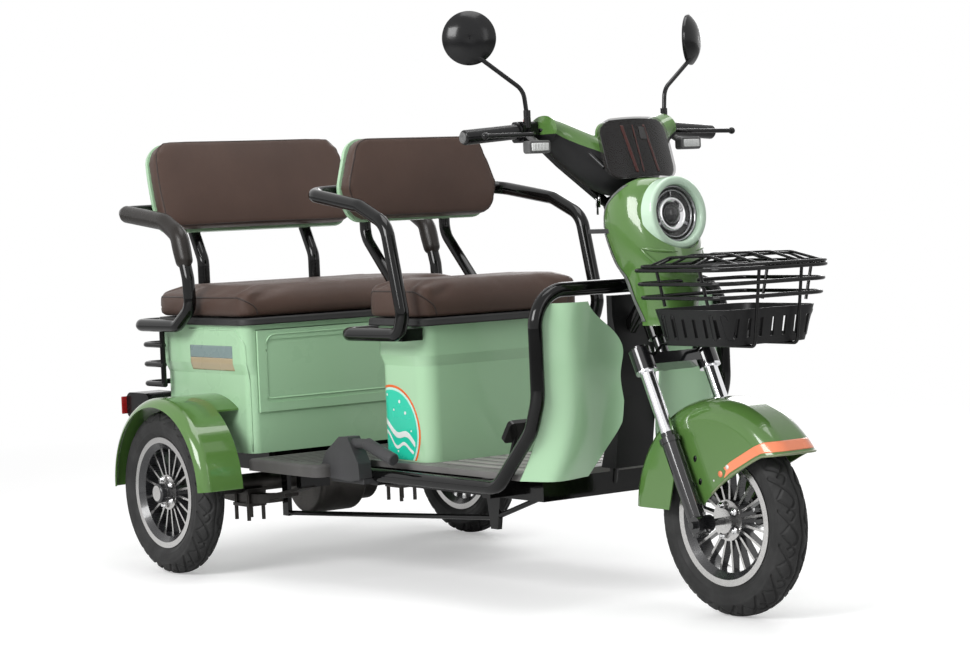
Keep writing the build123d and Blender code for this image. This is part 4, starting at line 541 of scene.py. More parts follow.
# ================================================================ cushions and pads
VOXEL = 0.0065
SETTLE_FRAMES = 20
STUFFED_VINYL = {
    "quality": 4, "mass": 0.25, "tension_stiffness": 12.0, "compression_stiffness": 8.0,
    "shear_stiffness": 4.0, "bending_stiffness": 0.6, "use_pressure": True, "uniform_pressure_force": 4.0,
}


def trimmed_copy(node, low=None, shrink=0.004):
    """Closed bmesh of a CAD pad without what lies below a height, a little smaller all round."""
    solid = bmesh.new()
    solid.from_mesh(NODES[node].data)
    bmesh.ops.remove_doubles(solid, verts=solid.verts, dist=1e-5)
    if low is not None:
        everything = list(solid.verts) + list(solid.edges) + list(solid.faces)
        plane = {"plane_co": (0, 0, low), "plane_no": (0, 0, 1)}
        bmesh.ops.bisect_plane(solid, geom=everything, clear_inner=True, **plane)
        bmesh.ops.holes_fill(solid, edges=[edge for edge in solid.edges if edge.is_boundary])
    lowest = Vector([min(v.co[axis] for v in solid.verts) for axis in range(3)])
    highest = Vector([max(v.co[axis] for v in solid.verts) for axis in range(3)])
    centre = (lowest + highest) / 2
    size = highest - lowest
    for vertex in solid.verts:
        for axis in range(3):
            share = (size[axis] - 2 * shrink) / size[axis]
            vertex.co[axis] = centre[axis] + (vertex.co[axis] - centre[axis]) * share
    return solid


def evaluated_mesh(piece):
    """New mesh with the piece's modifiers applied."""
    bpy.context.view_layer.update()
    graph = bpy.context.evaluated_depsgraph_get()
    return bpy.data.meshes.new_from_object(piece.evaluated_get(graph))


def swollen(solid, name, voxel, held, cap):
    """Remeshes a closed shape and lets it swell like stuffed fabric, except where held(point) is 1."""
    mesh = bpy.data.meshes.new(name + "_start")
    solid.to_mesh(mesh)
    solid.free()
    start = bpy.data.objects.new(name + "_start", mesh)
    bpy.context.scene.collection.objects.link(start)
    remesh = start.modifiers.new("remesh", "REMESH")
    remesh.mode = "VOXEL"
    remesh.voxel_size = voxel
    even = evaluated_mesh(start)
    bpy.data.objects.remove(start)
    even.materials.clear()
    soft = bpy.data.objects.new(name + "_soft", even)
    bpy.context.scene.collection.objects.link(soft)
    before = [v.co.copy() for v in even.vertices]
    group = soft.vertex_groups.new(name="held")
    for vertex in even.vertices:
        weight = held(vertex.co)
        if weight > 0:
            group.add([vertex.index], weight, "REPLACE")
    cloth = soft.modifiers.new("cloth", "CLOTH")
    settings = cloth.settings
    for key, value in STUFFED_VINYL.items():
        setattr(settings, key, value)
    settings.vertex_group_mass = "held"
    settings.effector_weights.gravity = 0.0
    cloth.collision_settings.use_self_collision = False
    cloth.point_cache.frame_start = 1
    cloth.point_cache.frame_end = SETTLE_FRAMES
    for step in range(1, SETTLE_FRAMES + 1):
        bpy.context.scene.frame_set(step)
    settled = evaluated_mesh(soft)
    bpy.context.scene.frame_set(1)
    after = [v.co.copy() for v in settled.vertices]
    bpy.data.meshes.remove(settled)
    bpy.data.objects.remove(soft)
    for vertex, old, new in zip(even.vertices, before, after):
        move = new - old
        if move.length > cap:
            move = move * (cap / move.length)
        vertex.co = old + move
    return even


def smoothed(mesh):
    """Relaxes a mesh, which takes out the remesh's steps."""
    shape = bmesh.new()
    shape.from_mesh(mesh)
    axes = {"use_axis_x": True, "use_axis_y": True, "use_axis_z": True}
    for _ in range(3):
        bmesh.ops.smooth_vert(shape, verts=shape.verts, factor=0.5, **axes)
    shape.to_mesh(mesh)
    shape.free()


def refined(piece):
    """One subdivision, applied, so that the piece is its final mesh."""
    material = piece.data.materials[0]
    finer = piece.modifiers.new("finer", "SUBSURF")
    finer.levels = finer.render_levels = 1
    mesh = evaluated_mesh(piece)
    piece.modifiers.clear()
    piece.data = mesh
    dress(mesh, material)
    mesh.polygons.foreach_set("use_smooth", [True] * len(mesh.polygons))


def covered(node, mesh, body):
    """Leather cover that stands for a CAD pad."""
    smoothed(mesh)
    cover = placed(node + "_cover", mesh, BROWN_LEATHER, body, "seat_cover")
    refined(cover)
    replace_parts(cover, node)
    return cover


def gap_to(marks):
    """Function that gives a point's distance from the nearest mark."""
    marks = np.array([tuple(mark) for mark in marks])

    def gap(point):
        return np.sqrt(((marks - np.array(point)) ** 2).sum(1).min())

    return gap


def welt(name, samples, tree, body, radius=0.0022, closed=False):
    """Piping laid along the nearest points of a surface, sunk a little into it."""
    sink = 0.0006
    line = []
    for sample in samples:
        place, normal = tree.find_nearest(Vector(sample))[:2]
        line.append(place - normal * sink)
    new_piece(name, *tube(line, radius, 8, closed=closed), PIPING, body, "seat_cover")


PIPING = leather("piping_leather", rgb(0.034, 0.022, 0.018), rough=0.35)
STRIP_BLACK = grained("strip_black", rgb(0.022, 0.022, 0.022), rough=0.45)


def seat(node, body, voxel, cap):
    """Swollen cushion on its base strip; arched seams join its end panels and wrap the front corners."""
    low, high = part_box(node)
    strip_top = low.z + SEAT_STRIP
    shell = 0.016
    seams = []
    for sign in (-1, 1):
        y = high.y if sign > 0 else low.y
        x0, x1 = low.x + 0.012, high.x - 0.001
        top = high.z - 0.018
        corners = [
            (x0, y, strip_top + 0.002), (x0, y, top), (x1 - 0.02, y, top - 0.002),
            (x1, y - sign * 0.045, strip_top + 0.03), (x1, y - sign * 0.052, strip_top + 0.001),
        ]
        seams.append(curved(rounded(corners, [0.03, 0.05, 0.03], 8), 3))
    from_seams = gap_to(mark for seam in seams for mark in seam)

    def held(point):
        if point.z < strip_top + shell * 0.4:
            return 1.0
        return 0.9 if from_seams(point) < shell * 0.55 else 0.0

    mesh = swollen(trimmed_copy(node, strip_top), node, voxel, held, cap)
    cover = covered(node, mesh, body)
    base = base_strip(low, high, SEAT_STRIP, SEAT_CORNER)
    new_piece(node + "_base", *base, STRIP_BLACK, body, "seat_cover")
    surface = surface_of(cover)
    for index, seam in enumerate(seams):
        welt(f"{node}_seam_{index}", seam, surface, body)


def base_strip(low, high, strip, corner):
    """Moulded rim under a cushion, with a lip at its foot."""
    profile = [
        (0.0, 0.0), (0.0, 0.004), (-0.0012, 0.005), (-0.0012, strip * 0.8), (-0.004, strip + 0.0015),
        (-0.012, strip + 0.002),
    ]
    outline = []
    centre_x = (low.x + high.x) / 2
    half_x, half_y = (high.x - low.x) / 2, (high.y - low.y) / 2
    for sx, sy, start in ((1, 1, 0), (-1, 1, 90), (-1, -1, 180), (1, -1, 270)):
        for step in range(9):
            angle = math.radians(start + 90 * step / 8)
            outline.append((
                sx * (half_x - corner), sy * (half_y - corner), math.cos(angle), math.sin(angle),
            ))
    vertices = []
    for inset, rise in profile:
        reach = corner + inset
        for ox, oy, cx, cy in outline:
            vertices.append((centre_x + ox + cx * reach, oy + cy * reach, low.z + rise))
    return vertices, ring_faces(len(profile), len(outline))


def back_pad(node, low, top, half, outline):
    """Swollen backrest pad with a piped seam round its face."""
    low, top = at(low[0], 0, low[1]), at(top[0], 0, top[1])
    up_line = top - low
    upward = up_line.normalized()
    ahead = Vector((upward.z, 0, -upward.x))
    right = [Vector((0, -half * share, 0)) + low + up_line * height for share, height, radius in outline]
    left = [Vector((p.x, -p.y, p.z)) for p in reversed(right)]
    corners = right + left
    radii = [radius for share, height, radius in outline]
    radii = radii + radii[::-1]
    ring = []
    count = len(corners)
    for index, corner in enumerate(corners):
        before, after = corners[index - 1], corners[(index + 1) % count]
        elbow = [before.lerp(corner, 0.5), corner, corner.lerp(after, 0.5)]
        ring += rounded(elbow, [radii[index] / 1000], 6)[1:]
    middle = (low + top) / 2
    inset = 0.006
    ring = [point + (middle - point).normalized() * inset for point in ring]
    dense = [a.lerp(b, step / 8) for a, b in zip(ring, ring[1:] + ring[:1]) for step in range(8)]
    from_seam = gap_to(dense)
    back_plane = low - ahead * 0.040

    def held(point):
        if (point - back_plane).dot(ahead) < 0:
            return 1.0
        return 0.85 if from_seam(point) < 0.008 else 0.0

    mesh = swollen(trimmed_copy(node), node, VOXEL, held, 0.010)
    cover = covered(node, mesh, "chassis")
    welt(node + "_seam", dense[::2], surface_of(cover), "chassis", radius=0.0019, closed=True)


SEAT_STRIP = 0.016
SEAT_CORNER = 0.036
seat("front_seat_cushion", "front_seat", VOXEL, 0.009)
seat("rear_seat_cushion", "rear_seat", VOXEL * 1.2, 0.011)
back_pad(
    "front_backrest_pad", (514.0, 872.0), (486.0, 1074.0), 0.232,
    [(0.86, 0.0, 45.0), (1.0, 0.36, 80.0), (0.8, 1.0, 50.0)],
)
back_pad(
    "rear_backrest_pad", (-252.0, 868.0), (-322.0, 1103.0), 0.304,
    [(0.98, 0.0, 34.0), (1.0, 0.5, 400.0), (0.96, 1.0, 62.0)],
)

ARM_PAD_LINE = [(-13.0, 766.0), (-40.0, 850.0), (-110.0, 885.0), (-313.0, 909.0)]


def arm_pad(side):
    """Moulded sleeve on an arm tube that swells to a rounded end in front."""
    route = rounded([at(x, side * 386.0, z) for x, z in ARM_PAD_LINE], [0.045, 0.08], 12)
    fine = evenly(route, 0.006)
    total = len(fine) - 1
    girth = []
    for index in range(total + 1):
        share = index / total
        swell = 0.0225 + 0.0035 * math.exp(-((share - 0.16) / 0.13) ** 2)
        nose = min(share / 0.05, 1.0)
        front_end = math.sqrt(nose * (2 - nose))
        back_end = 1.0 if share < 0.985 else 0.94
        girth.append(max(0.0165, swell * front_end * back_end))
    vertices, faces = tube(fine, girth, 28, flat=0.88)
    pad = new_piece("arm_pad_" + HANDS[side], vertices, faces, PAD_SKIN, "chassis", "arm_pad")
    if side < 0:
        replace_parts(pad, "rear_arm_pads")


for side in HANDS:
    arm_pad(side)


# ================================================================ wheels
TREAD_PERIODS = 16
TREAD_LENGTH = 2 * math.pi * TYRE_R * 1000 / TREAD_PERIODS
TREAD_STEPS = 54
CENTRE_GROOVE = {"wander": 1.6, "half_width": 2.0, "depth": 4.2}
# Tread lines of one period in millimetres: (along the tread, off the middle), with half width and depth.
TREAD_LINES = [
    (
        [(0, 38), (16, 31), (32, 23), (48, 14.5), (58, 10.5), (64, 9.5), (70, 10.5), (77, 15), (88, 25)],
        2.6, 4.6,
    ),
    ([(59, 34), (70, 27), (82, 18.5), (88, 14), (92, 12.5), (96, 13.5), (108, 21)], 2.1, 3.8),
    ([(116, 26), (135, 36)], 1.7, 3.0),
]
# Side wall in millimetres: (off the middle, radius).
SIDE_WALL = [
    (39.6, 180.0), (40.4, 176.5), (39.6, 174.0), (40.2, 170.0), (40.0, 165.0), (39.0, 159.0), (37.6, 154.5),
    (37.9, 153.0), (37.0, 151.8), (34.6, 147.0), (31.5, 143.0), (30.6, 141.8), (30.4, 140.2), (28.0, 139.0),
    (27.6, 134.0),
]
TREAD_HALF, CROWN_R, CROWN_DROP = 38.5, 206.0, 24.0


def groove(away, half_width, depth):
    """Depth of a groove with sloping sides, by the distance from its middle."""
    return depth * np.clip(1.5 - away / half_width, 0, 1)


def tread_depth(along, across):
    """How deep the tread is cut at each point, in millimetres."""
    middle = np.abs(across - CENTRE_GROOVE["wander"] * np.sin(2 * np.pi * along / TREAD_LENGTH))
    depth = groove(middle, CENTRE_GROOVE["half_width"], CENTRE_GROOVE["depth"])
    for side, shift in ((1, 0.0), (-1, TREAD_LENGTH / 2)):
        off = across * side
        for line, half_width, cut in TREAD_LINES:
            for turn in (-2, -1, 0, 1):
                here = (along + shift) % TREAD_LENGTH - turn * TREAD_LENGTH
                for (s0, u0), (s1, u1) in zip(line, line[1:]):
                    ds, du = s1 - s0, u1 - u0
                    share = np.clip(((here - s0) * ds + (off - u0) * du) / (ds * ds + du * du), 0, 1)
                    away = np.hypot(here - s0 - share * ds, off - u0 - share * du)
                    depth = np.maximum(depth, groove(away, half_width, cut))
    return depth


def tyre(name, node, body, centre):
    """Tyre with a cut tread, a shoulder ridge and moulded rings on its side walls."""
    crown = 30
    shares = [step / crown for step in range(-crown, crown + 1)]
    tread = [(TREAD_HALF * share, CROWN_R - CROWN_DROP * abs(share) ** 2.6) for share in shares]
    profile = [(-y, r) for y, r in reversed(SIDE_WALL)] + tread + SIDE_WALL
    across = np.array([y for y, r in profile])
    radius = np.array([r for y, r in profile])
    steps = TREAD_PERIODS * TREAD_STEPS
    turn = 2 * np.pi * np.arange(steps) / steps
    along = turn[:, None] * TYRE_R * 1000 + 0 * across[None, :]
    cut = tread_depth(along, across[None, :] + 0 * turn[:, None])
    cut[:, :len(SIDE_WALL)] = 0
    cut[:, -len(SIDE_WALL):] = 0
    r = (radius[None, :] - cut) / 1000
    x = centre.x + r * np.cos(turn)[:, None]
    z = centre.z - r * np.sin(turn)[:, None]
    y = centre.y + across[None, :] / 1000 + 0 * r
    vertices = np.stack([x, y, z], axis=-1).reshape(-1, 3)
    wide = len(profile)
    faces = []
    for i in range(steps):
        a, b = i * wide, (i + 1) % steps * wide
        for j in range(wide - 1):
            faces.append((a + j, a + j + 1, b + j + 1, b + j))
        faces.append((a + wide - 1, a, b, b + wide - 1))
    piece = new_piece(name, vertices.tolist(), faces, TYRE_RUBBER, body, "tyre_rubber")
    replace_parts(piece, node)


RIM_RINGS = [
    [(27.0, 139.4), (30.6, 138.8), (31.6, 136.9), (30.6, 135.0), (27.0, 134.2)],
    [(26.0, 133.4), (28.6, 132.6), (29.0, 131.2), (28.2, 130.0), (26.0, 129.4)],
]


def rim_rings(name, body, centre):
    """Polished double ring on both edges of a rim."""
    parts = [lathe(mm(ring), centre, (0, side, 0), 96, closed=True) for side in HANDS for ring in RIM_RINGS]
    new_piece(name, *merged(parts), BRIGHT_ALLOY, body, "cast_alloy")


BRIGHT_ALLOY = metal("bright_alloy", rgb(0.66, 0.65, 0.63), rough=0.16, scratches=0.02)
FRONT_CENTRE = Vector((WHEELBASE - AXLE_TO_MIDDLE, 0.0, TYRE_R))
RIGHT_CENTRE = Vector((-AXLE_TO_MIDDLE, -TRACK_HALF, TYRE_R))
LEFT_CENTRE = Vector((-AXLE_TO_MIDDLE, TRACK_HALF, TYRE_R))
# Each wheel: tyre node, body, middle, and the sides on which its hub is bolted.
WHEELS = {
    "front": ("front_tyre", "front_wheel", FRONT_CENTRE, (-1, 1)),
    "rear_right": ("rear_tyre_right", "rear_wheel_right", RIGHT_CENTRE, (-1,)),
    "rear_left": ("rear_tyre_left", "rear_wheel_left", LEFT_CENTRE, (1,)),
}
for wheel, (node, body, centre, sides) in WHEELS.items():
    tyre(wheel + "_road_tyre", node, body, centre)
    rim_rings(wheel + "_rim_rings", body, centre)


# ================================================================ lamp, screen, mirrors and signals
def steered(name, shape, finish, slot="black_plastic"):
    """Piece that turns with the bars."""
    return new_piece(name, *shape, finish, "steering", slot)


LAMP_MIDDLE = at(1417, 0, 859)
LAMP_TILT = math.radians(5.7)
LAMP_AXIS = Vector((math.cos(LAMP_TILT), 0, math.sin(LAMP_TILT)))
BLACK_BOWL = gloss("black_bowl", rgb(0.02, 0.02, 0.021), rough=0.12, ripple=0.02)
DARK_CHROME = metal("dark_chrome", rgb(0.30, 0.30, 0.31), rough=0.16, scratches=0.01)
LAMP_COVER = film("lamp_cover", rgb(0.5, 0.5, 0.5), 0.07)


def lamp_turned(profile, sides=64, closed=False):
    """Shape turned about the lamp's axis, its profile in millimetres."""
    return lathe(mm(profile), LAMP_MIDDLE, LAMP_AXIS, sides, closed)


def lamp_fin(index):
    """One of three small fins between the collar and the bowl."""
    turn = math.radians(90 + 120 * index)
    across = LAMP_AXIS.cross(Vector((0, 1, 0)))
    reach = Vector((0, math.cos(turn), 0)) + across * math.sin(turn)
    middle = LAMP_MIDDLE + reach * 0.045 + LAMP_AXIS * 0.001
    return rounded_block(middle, (0.003, 0.014, 0.008), 0.001, reach.to_track_quat("Y", "Z").to_matrix())


def headlamp():
    """Black bowl, stepped bright rings, projector lens and its clear cover."""
    bowl = lamp_turned([(-5.5, 61.4), (9, 61.4), (9, 58), (3, 55), (2, 50), (-1, 46), (-4, 38), (-5.5, 20)])
    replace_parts(steered("lamp_bowl", bowl, BLACK_BOWL, "lamp_glass"), "headlight_lamp")
    rings = [
        lamp_turned([(6, 61), (12, 61.2), (14, 59.5), (12.5, 57.2), (8, 56), (4, 56)], closed=True),
        lamp_turned([(1, 52), (8, 52.4), (9.4, 51), (8.4, 49.4), (3, 48.8), (1, 49)], closed=True),
    ]
    steered("lamp_outer_rings", merged(rings), DARK_CHROME, "lamp_glass")
    collar = [(-4, 40), (2, 39), (6, 36), (7.5, 33.5), (6, 30), (1, 25), (-3, 21), (-4, 30)]
    steered("lamp_collar", lamp_turned(collar, closed=True), CHROME, "lamp_glass")
    lens = lamp_turned([(-4, 22), (2, 22), (6, 19.5), (9.6, 14), (11.4, 8), (12, 2), (12, 0.01)], 48)
    steered("lamp_projector", lens, BLACK_BOWL, "lamp_glass")
    steered("lamp_fins", merged([lamp_fin(index) for index in range(3)]), DARK_CHROME, "lamp_glass")
    cover = lamp_turned([(12, 61), (15, 55), (18.5, 42), (20.5, 26), (21.4, 10), (21.5, 0.01)])
    open_cover = cover[0], cover[1][:-2]
    steered("lamp_cover", open_cover, LAMP_COVER, "lamp_glass")


VISOR_LEAN = math.radians(17)
VISOR_MIDDLE = at(1334, 0, 1009)
VISOR_OUT = Vector((math.cos(VISOR_LEAN), 0, math.sin(VISOR_LEAN)))
VISOR_UP = Vector((-math.sin(VISOR_LEAN), 0, math.cos(VISOR_LEAN)))
SCREEN_SPANS = ((-0.096, 0.096), (-0.066, 0.066))
# Trim lines behind the screen: place across at its foot and head, and half width.
DASH_LINES = [(-0.028, -0.045, 0.0035), (0.032, 0.014, 0.003), (-0.012, -0.016, 0.0015)]
DASH_RED = gloss("dash_red", rgb(0.12, 0.016, 0.010), rough=0.3)


def on_visor(u, v):
    return VISOR_MIDDLE + Vector((0, u, 0)) + VISOR_UP * v


def in_panel(u, v):
    """Black mask behind the screen, with rounded corners."""
    if abs(u) > 0.0955 or abs(v) > 0.0655:
        return False
    return max(abs(u) - 0.062, 0) ** 2 + max(abs(v) - 0.034, 0) ** 2 < 0.032 ** 2


def in_window(u, v):
    return 0.0 < u < 0.020 and 0.018 < v < 0.046


def in_line(low, high, half):
    """Test for one slanting trim line."""
    def inside(u, v):
        middle = low + (high - low) * (v + 0.066) / 0.132
        return abs(u - middle) < half and -0.058 < v < 0.05
    return inside


def screen():
    """Mask, coloured trim lines and the small display behind the smoked screen."""
    tree = surface_of("display_visor")

    def behind(inside, steps, lift):
        return sticker(tree, inside, SCREEN_SPANS, steps, on_visor, VISOR_OUT, lift)

    steered("dash_mask", thick(*behind(in_panel, (96, 66), -0.0014), 0.0010), BLACK_SATIN)
    lines = [behind(in_line(*line), (160, 44), -0.0032) for line in DASH_LINES]
    steered("dash_lines", thick(*merged(lines), 0.0005), DASH_RED)
    steered("dash_window", thick(*behind(in_window, (120, 80), -0.0032), 0.0005), GREY_TRIM)


MIRROR_TOE = math.radians(35)


def mirror_glass(side):
    """Silvered glass with a slim rim, on the rider's side of the head."""
    middle = at(1137, side * 317, 1258)
    facing = Vector((-math.cos(MIRROR_TOE), -side * math.sin(MIRROR_TOE), 0))
    glass = lathe(mm([(-0.5, 54), (0.8, 54), (1.1, 50), (1.3, 20), (1.3, 0.01)]), middle, facing, 64)
    steered("mirror_glass_" + HANDS[side], glass, CHROME, "lamp_glass")
    rim = lathe(mm([(-0.5, 58), (1.6, 57.6), (2.2, 56), (1.6, 54.4), (0, 54)]), middle, facing, 64, True)
    steered("mirror_rim_" + HANDS[side], rim, BLACK_SATIN)


SIGNAL_LENS = gloss("signal_lens", rgb(0.72, 0.73, 0.72), rough=0.12, ripple=0.3)


def signal_details(side):
    """Pale lens of a turn signal, with its upright ribs."""
    middle = at(1246, side * 218, 1016)
    lens = rounded_block(middle, (0.004, 0.047, 0.017), 0.0018)
    steered("signal_lens_" + HANDS[side], lens, SIGNAL_LENS, "signal_lens")
    ribs = [
        rounded_block(middle + Vector((0.0022, index * 0.0085, 0)), (0.0012, 0.0012, 0.013), 0.0004)
        for index in range(-2, 3)
    ]
    steered("signal_ribs_" + HANDS[side], merged(ribs), SIGNAL_LENS, "signal_lens")


ORANGE_PLASTIC = gloss("orange_plastic", rgb(0.72, 0.15, 0.02), rough=0.3)
GREEN_PLASTIC = gloss("green_plastic", rgb(0.05, 0.36, 0.10), rough=0.3)
# Switch buttons: name, place in millimetres, radius (also the height) and finish.
BUTTONS = [
    ("orange_button", 1170, 196, 0.006, ORANGE_PLASTIC),
    ("green_button", 1182, 184, 0.005, GREEN_PLASTIC),
    ("red_button", 1170, -196, 0.006, RED_LENS),
]


def button(tree, x, y, radius):
    """Round button standing on the upper side of a surface."""
    place, normal = struck(tree, at(x, y, 1250), Vector((0, 0, -1)), 1.0)
    if place is None:
        place, normal = at(x, y, 1070), Vector((0, 0, 1))
    height = radius
    shape = [(-0.004, radius), (height * 0.6, radius), (height, radius * 0.75), (height * 1.05, 0.00001)]
    return lathe(shape, place, normal, 24)


def bar_details():
    """Switch buttons, bar-end caps and the keys."""
    tree = surface_of("bar_controls")
    for name, x, y, radius, finish in BUTTONS:
        steered(name, button(tree, x, y, radius), finish)
    cap = mm([(-1, 12.5), (2.2, 12.2), (3.4, 10.5), (3.6, 4.5), (2.6, 3.6), (2.6, 0.01)])
    caps = [lathe(cap, at(1158, side * 359.5, 1042), (0, side, 0), 32) for side in HANDS]
    steered("bar_end_caps", merged(caps), GREY_TRIM)
    keys = [
        tube([at(1262, -70, 906), at(1262, -73, 899), at(1262, -75, 894)], 0.0025, 10),
        rounded_block(at(1262, -76, 889), (0.003, 0.012, 0.020), 0.001),
        rounded_block(at(1259, -76, 872), (0.002, 0.006, 0.018), 0.0008),
    ]
    steered("key_set", merged(keys), CHROME)


headlamp()
screen()
for side in HANDS:
    mirror_glass(side)
    signal_details(side)
bar_details()

# Cowl's trailing edge from its top down, and the two folds under the lamp, as (x, z) in millimetres.
COWL_TRAIL = [
    (1369, 937), (1335, 912), (1293, 875), (1286, 835), (1317, 761), (1349, 725), (1361, 676), (1385, 625),
]
COWL_FOLDS = [((1409, 789), (1455, 737)), ((1409, 789), (1479, 775))]
BAND_GREY = gloss("band_grey", rgb(0.13, 0.14, 0.13), rough=0.3)


def cowl_trims(side):
    """Grey band along the cowl's trailing edge and the folded crease under the lamp."""
    tree = surface_of("head_cowl")
    edge = curved([at(x, 0, z) for x, z in COWL_TRAIL], 10)[::-1]
    levels = [p.z for p in edge]
    places = [p.x for p in edge]

    def in_front(u, v):
        return Vector((float(np.interp(v, levels, places)) + u, side * 0.12, v))

    inward = (0, -side, 0)
    spans = ((-0.004, 0.012), (levels[0] + 0.004, levels[-1] - 0.012))
    band = sticker(tree, lambda u, v: True, spans, (8, 120), in_front, inward, 0.0012)
    steered("cowl_band_" + HANDS[side], thick(*band, 0.0012), BAND_GREY)
    for number, ends in enumerate(COWL_FOLDS):
        start, end = [at(x, side * 120, z) for x, z in ends]
        points = [start.lerp(end, step / 14) for step in range(15)]
        found = met(laid_on(tree, points, inward, 0.0003))
        last = len(found) - 1
        swell = [0.0034 * (1 - abs(2 * i / last - 1) ** 3) + 0.0006 for i in range(last + 1)]
        steered(f"cowl_crease_{HANDS[side]}_{number}", tube(found, swell, 10), LEAF_GLOSS, "green_plastic")


for side in HANDS:
    cowl_trims(side)


def tray_slots():
    """Rows of raised slot outlines on the basket tray's sides."""
    tree = surface_of("basket_tray")
    low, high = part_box("basket_tray")
    z = (low.z + high.z) / 2
    half_z, half_x, pitch = 0.021, 0.0055, 0.030
    parts = []
    for side in HANDS:
        for index in range(7):
            x = low.x + 0.045 + index * pitch
            loop = []
            for turn in turns(28):
                dz = math.sin(turn) * half_x + (half_z if math.sin(turn) > 0 else -half_z)
                loop.append(Vector((x + math.cos(turn) * half_x, side * THROW, z + dz)))
            found = laid_on(tree, loop, (0, -side, 0), 0.0002)
            if all(p is not None for p in found):
                parts.append(tube(found, 0.0011, 6, closed=True))
    steered("tray_slot_rims", merged(parts), BLACK_SATIN)


tray_slots()


# ================================================================ stickers, openings and pressed lines
def paint(name, colour):
    """Printed film with a soft gloss."""
    return gloss(name, colour, rough=0.28, coat=0.8, ripple=0.03)


TEAL_FILM = paint("teal_film", rgb(0.020, 0.60, 0.40))
PALE_FILM = paint("pale_film", rgb(0.50, 0.85, 0.72))
ORANGE_FILM = paint("orange_film", rgb(0.80, 0.13, 0.015))
CORAL_FILM = paint("coral_film", rgb(0.90, 0.26, 0.12))
WHITE_FILM = paint("white_film", rgb(0.82, 0.84, 0.82))
SLATE_FILM = paint("slate_film", rgb(0.20, 0.27, 0.27))
TAN_FILM = paint("tan_film", rgb(0.42, 0.33, 0.20))

# Badge on the seat box, in millimetres.
BADGE_X, BADGE_Z, BADGE_R, BADGE_RING = 639.0, 366.0, 113.0, 6.0
BADGE_SPANS = ((568, 756), (303, 481))
BADGE_DOTS = [
    (672, 440, 4), (694, 414, 4), (622, 455, 3), (648, 420, 2.5), (604, 320, 3), (660, 322, 2.5),
    (716, 372, 2.5),
]


def seat_box_badge():
    """Round badge cut by the box's edge and the floor: rings, dots and two plain waves."""
    tree = surface_of("front_seat_box")

    def radius(u, v):
        return math.hypot(u - BADGE_X, v - BADGE_Z)

    def marked(u, v):
        wave = 392 - 0.34 * (u - 590) + 8 * math.sin((u - 590) / 14.0)
        second = wave - 26 + 4 * math.sin((u - 610) / 9.0)
        on_wave = abs(v - wave) < 7 or abs(v - second) < 4
        ribbon = 578 < u < 730 and on_wave and radius(u, v) < BADGE_R - 18
        return ribbon or any(math.hypot(u - x, v - z) < r for x, z, r in BADGE_DOTS)

    def thrown(u, v):
        return at(u, -THROW * 1000, v)

    inner, middle = BADGE_R - 2 * BADGE_RING, BADGE_R - BADGE_RING
    layers = [
        ("badge_orange", lambda u, v: middle < radius(u, v) < BADGE_R, ORANGE_FILM, (188, 178), 0.0004),
        ("badge_pale", lambda u, v: inner < radius(u, v) <= middle, PALE_FILM, (188, 178), 0.0004),
        ("badge_teal", lambda u, v: radius(u, v) <= inner, TEAL_FILM, (188, 178), 0.0004),
        ("badge_marks", marked, WHITE_FILM, (220, 208), 0.0008),
    ]
    for name, inside, finish, steps, lift in layers:
        shape = sticker(tree, inside, BADGE_SPANS, steps, thrown, (0, 1, 0), lift)
        new_piece(name, *thick(*shape, 0.0003), finish, "chassis", "mint_plastic")


def box_side_bands(side):
    """Two-tone band on the rear box's side and the pressed line above it."""
    hand = HANDS[side]
    tree = surface_of("rear_box")
    inward = (0, -side, 0)

    def thrown(u, v):
        return at(u, side * 460, v)

    for name, low, high, finish in (("upper", 537, 568, SLATE_FILM), ("lower", 505, 537, TAN_FILM)):
        spans = ((-75, 132), (low, high))
        shape = sticker(tree, lambda u, v: True, spans, (60, 10), thrown, inward, 0.0005)
        new_piece(f"box_band_{name}_{hand}", *thick(*shape, 0.0004), finish, "chassis", "mint_paint")
    corners = [thrown(-75, 609), thrown(150, 609), thrown(184, 575), thrown(184, 306)]
    outline = rounded(corners, [0.03, 0.03], 8)
    points = [a.lerp(b, step / 6) for a, b in zip(outline, outline[1:]) for step in range(6)]
    found = met(laid_on(tree, points + [outline[-1]], inward, -0.0006))
    new_piece(f"box_pressed_line_{hand}", *tube(found, 0.0028, 8), MINT_PAINT, "chassis", "mint_paint")


# Front fender's lower front edge as (x, z) in millimetres.
FENDER_CUT = [
    (1564, 242), (1582, 258), (1616, 284), (1652, 308), (1689, 326), (1722, 342), (1748, 353), (1798, 358),
    (1850, 358),
]
BEAD_GREEN = gloss("bead_green", rgb(0.20, 0.24, 0.13), rough=0.3)


def cut_level(x):
    """Height of the front fender's lower front edge, in metres, at a place in metres."""
    edge = [at(x, 0, z) for x, z in FENDER_CUT]
    return float(np.interp(x, [p.x for p in edge], [p.z for p in edge]))


def fender_point(tree, turn, rise, lift):
    """Point on the fender at a turn about its front, a set rise above its lower edge."""
    pivot = at(1640, 0, 0)
    away = Vector((math.cos(turn), math.sin(turn), 0))
    z = 0.42
    found = None
    for _ in range(40):
        place, normal = struck(tree, Vector((pivot.x, 0, z)) + away * 0.5, -away, 10.0)
        if place is None or (place - pivot).dot(away) < 0.02:
            return found
        found = place + normal * lift
        target = cut_level(place.x) + rise
        if abs(z - target) < 0.0004:
            return found
        z += max(-0.006, min(0.006, 0.6 * (target - z)))
    return found


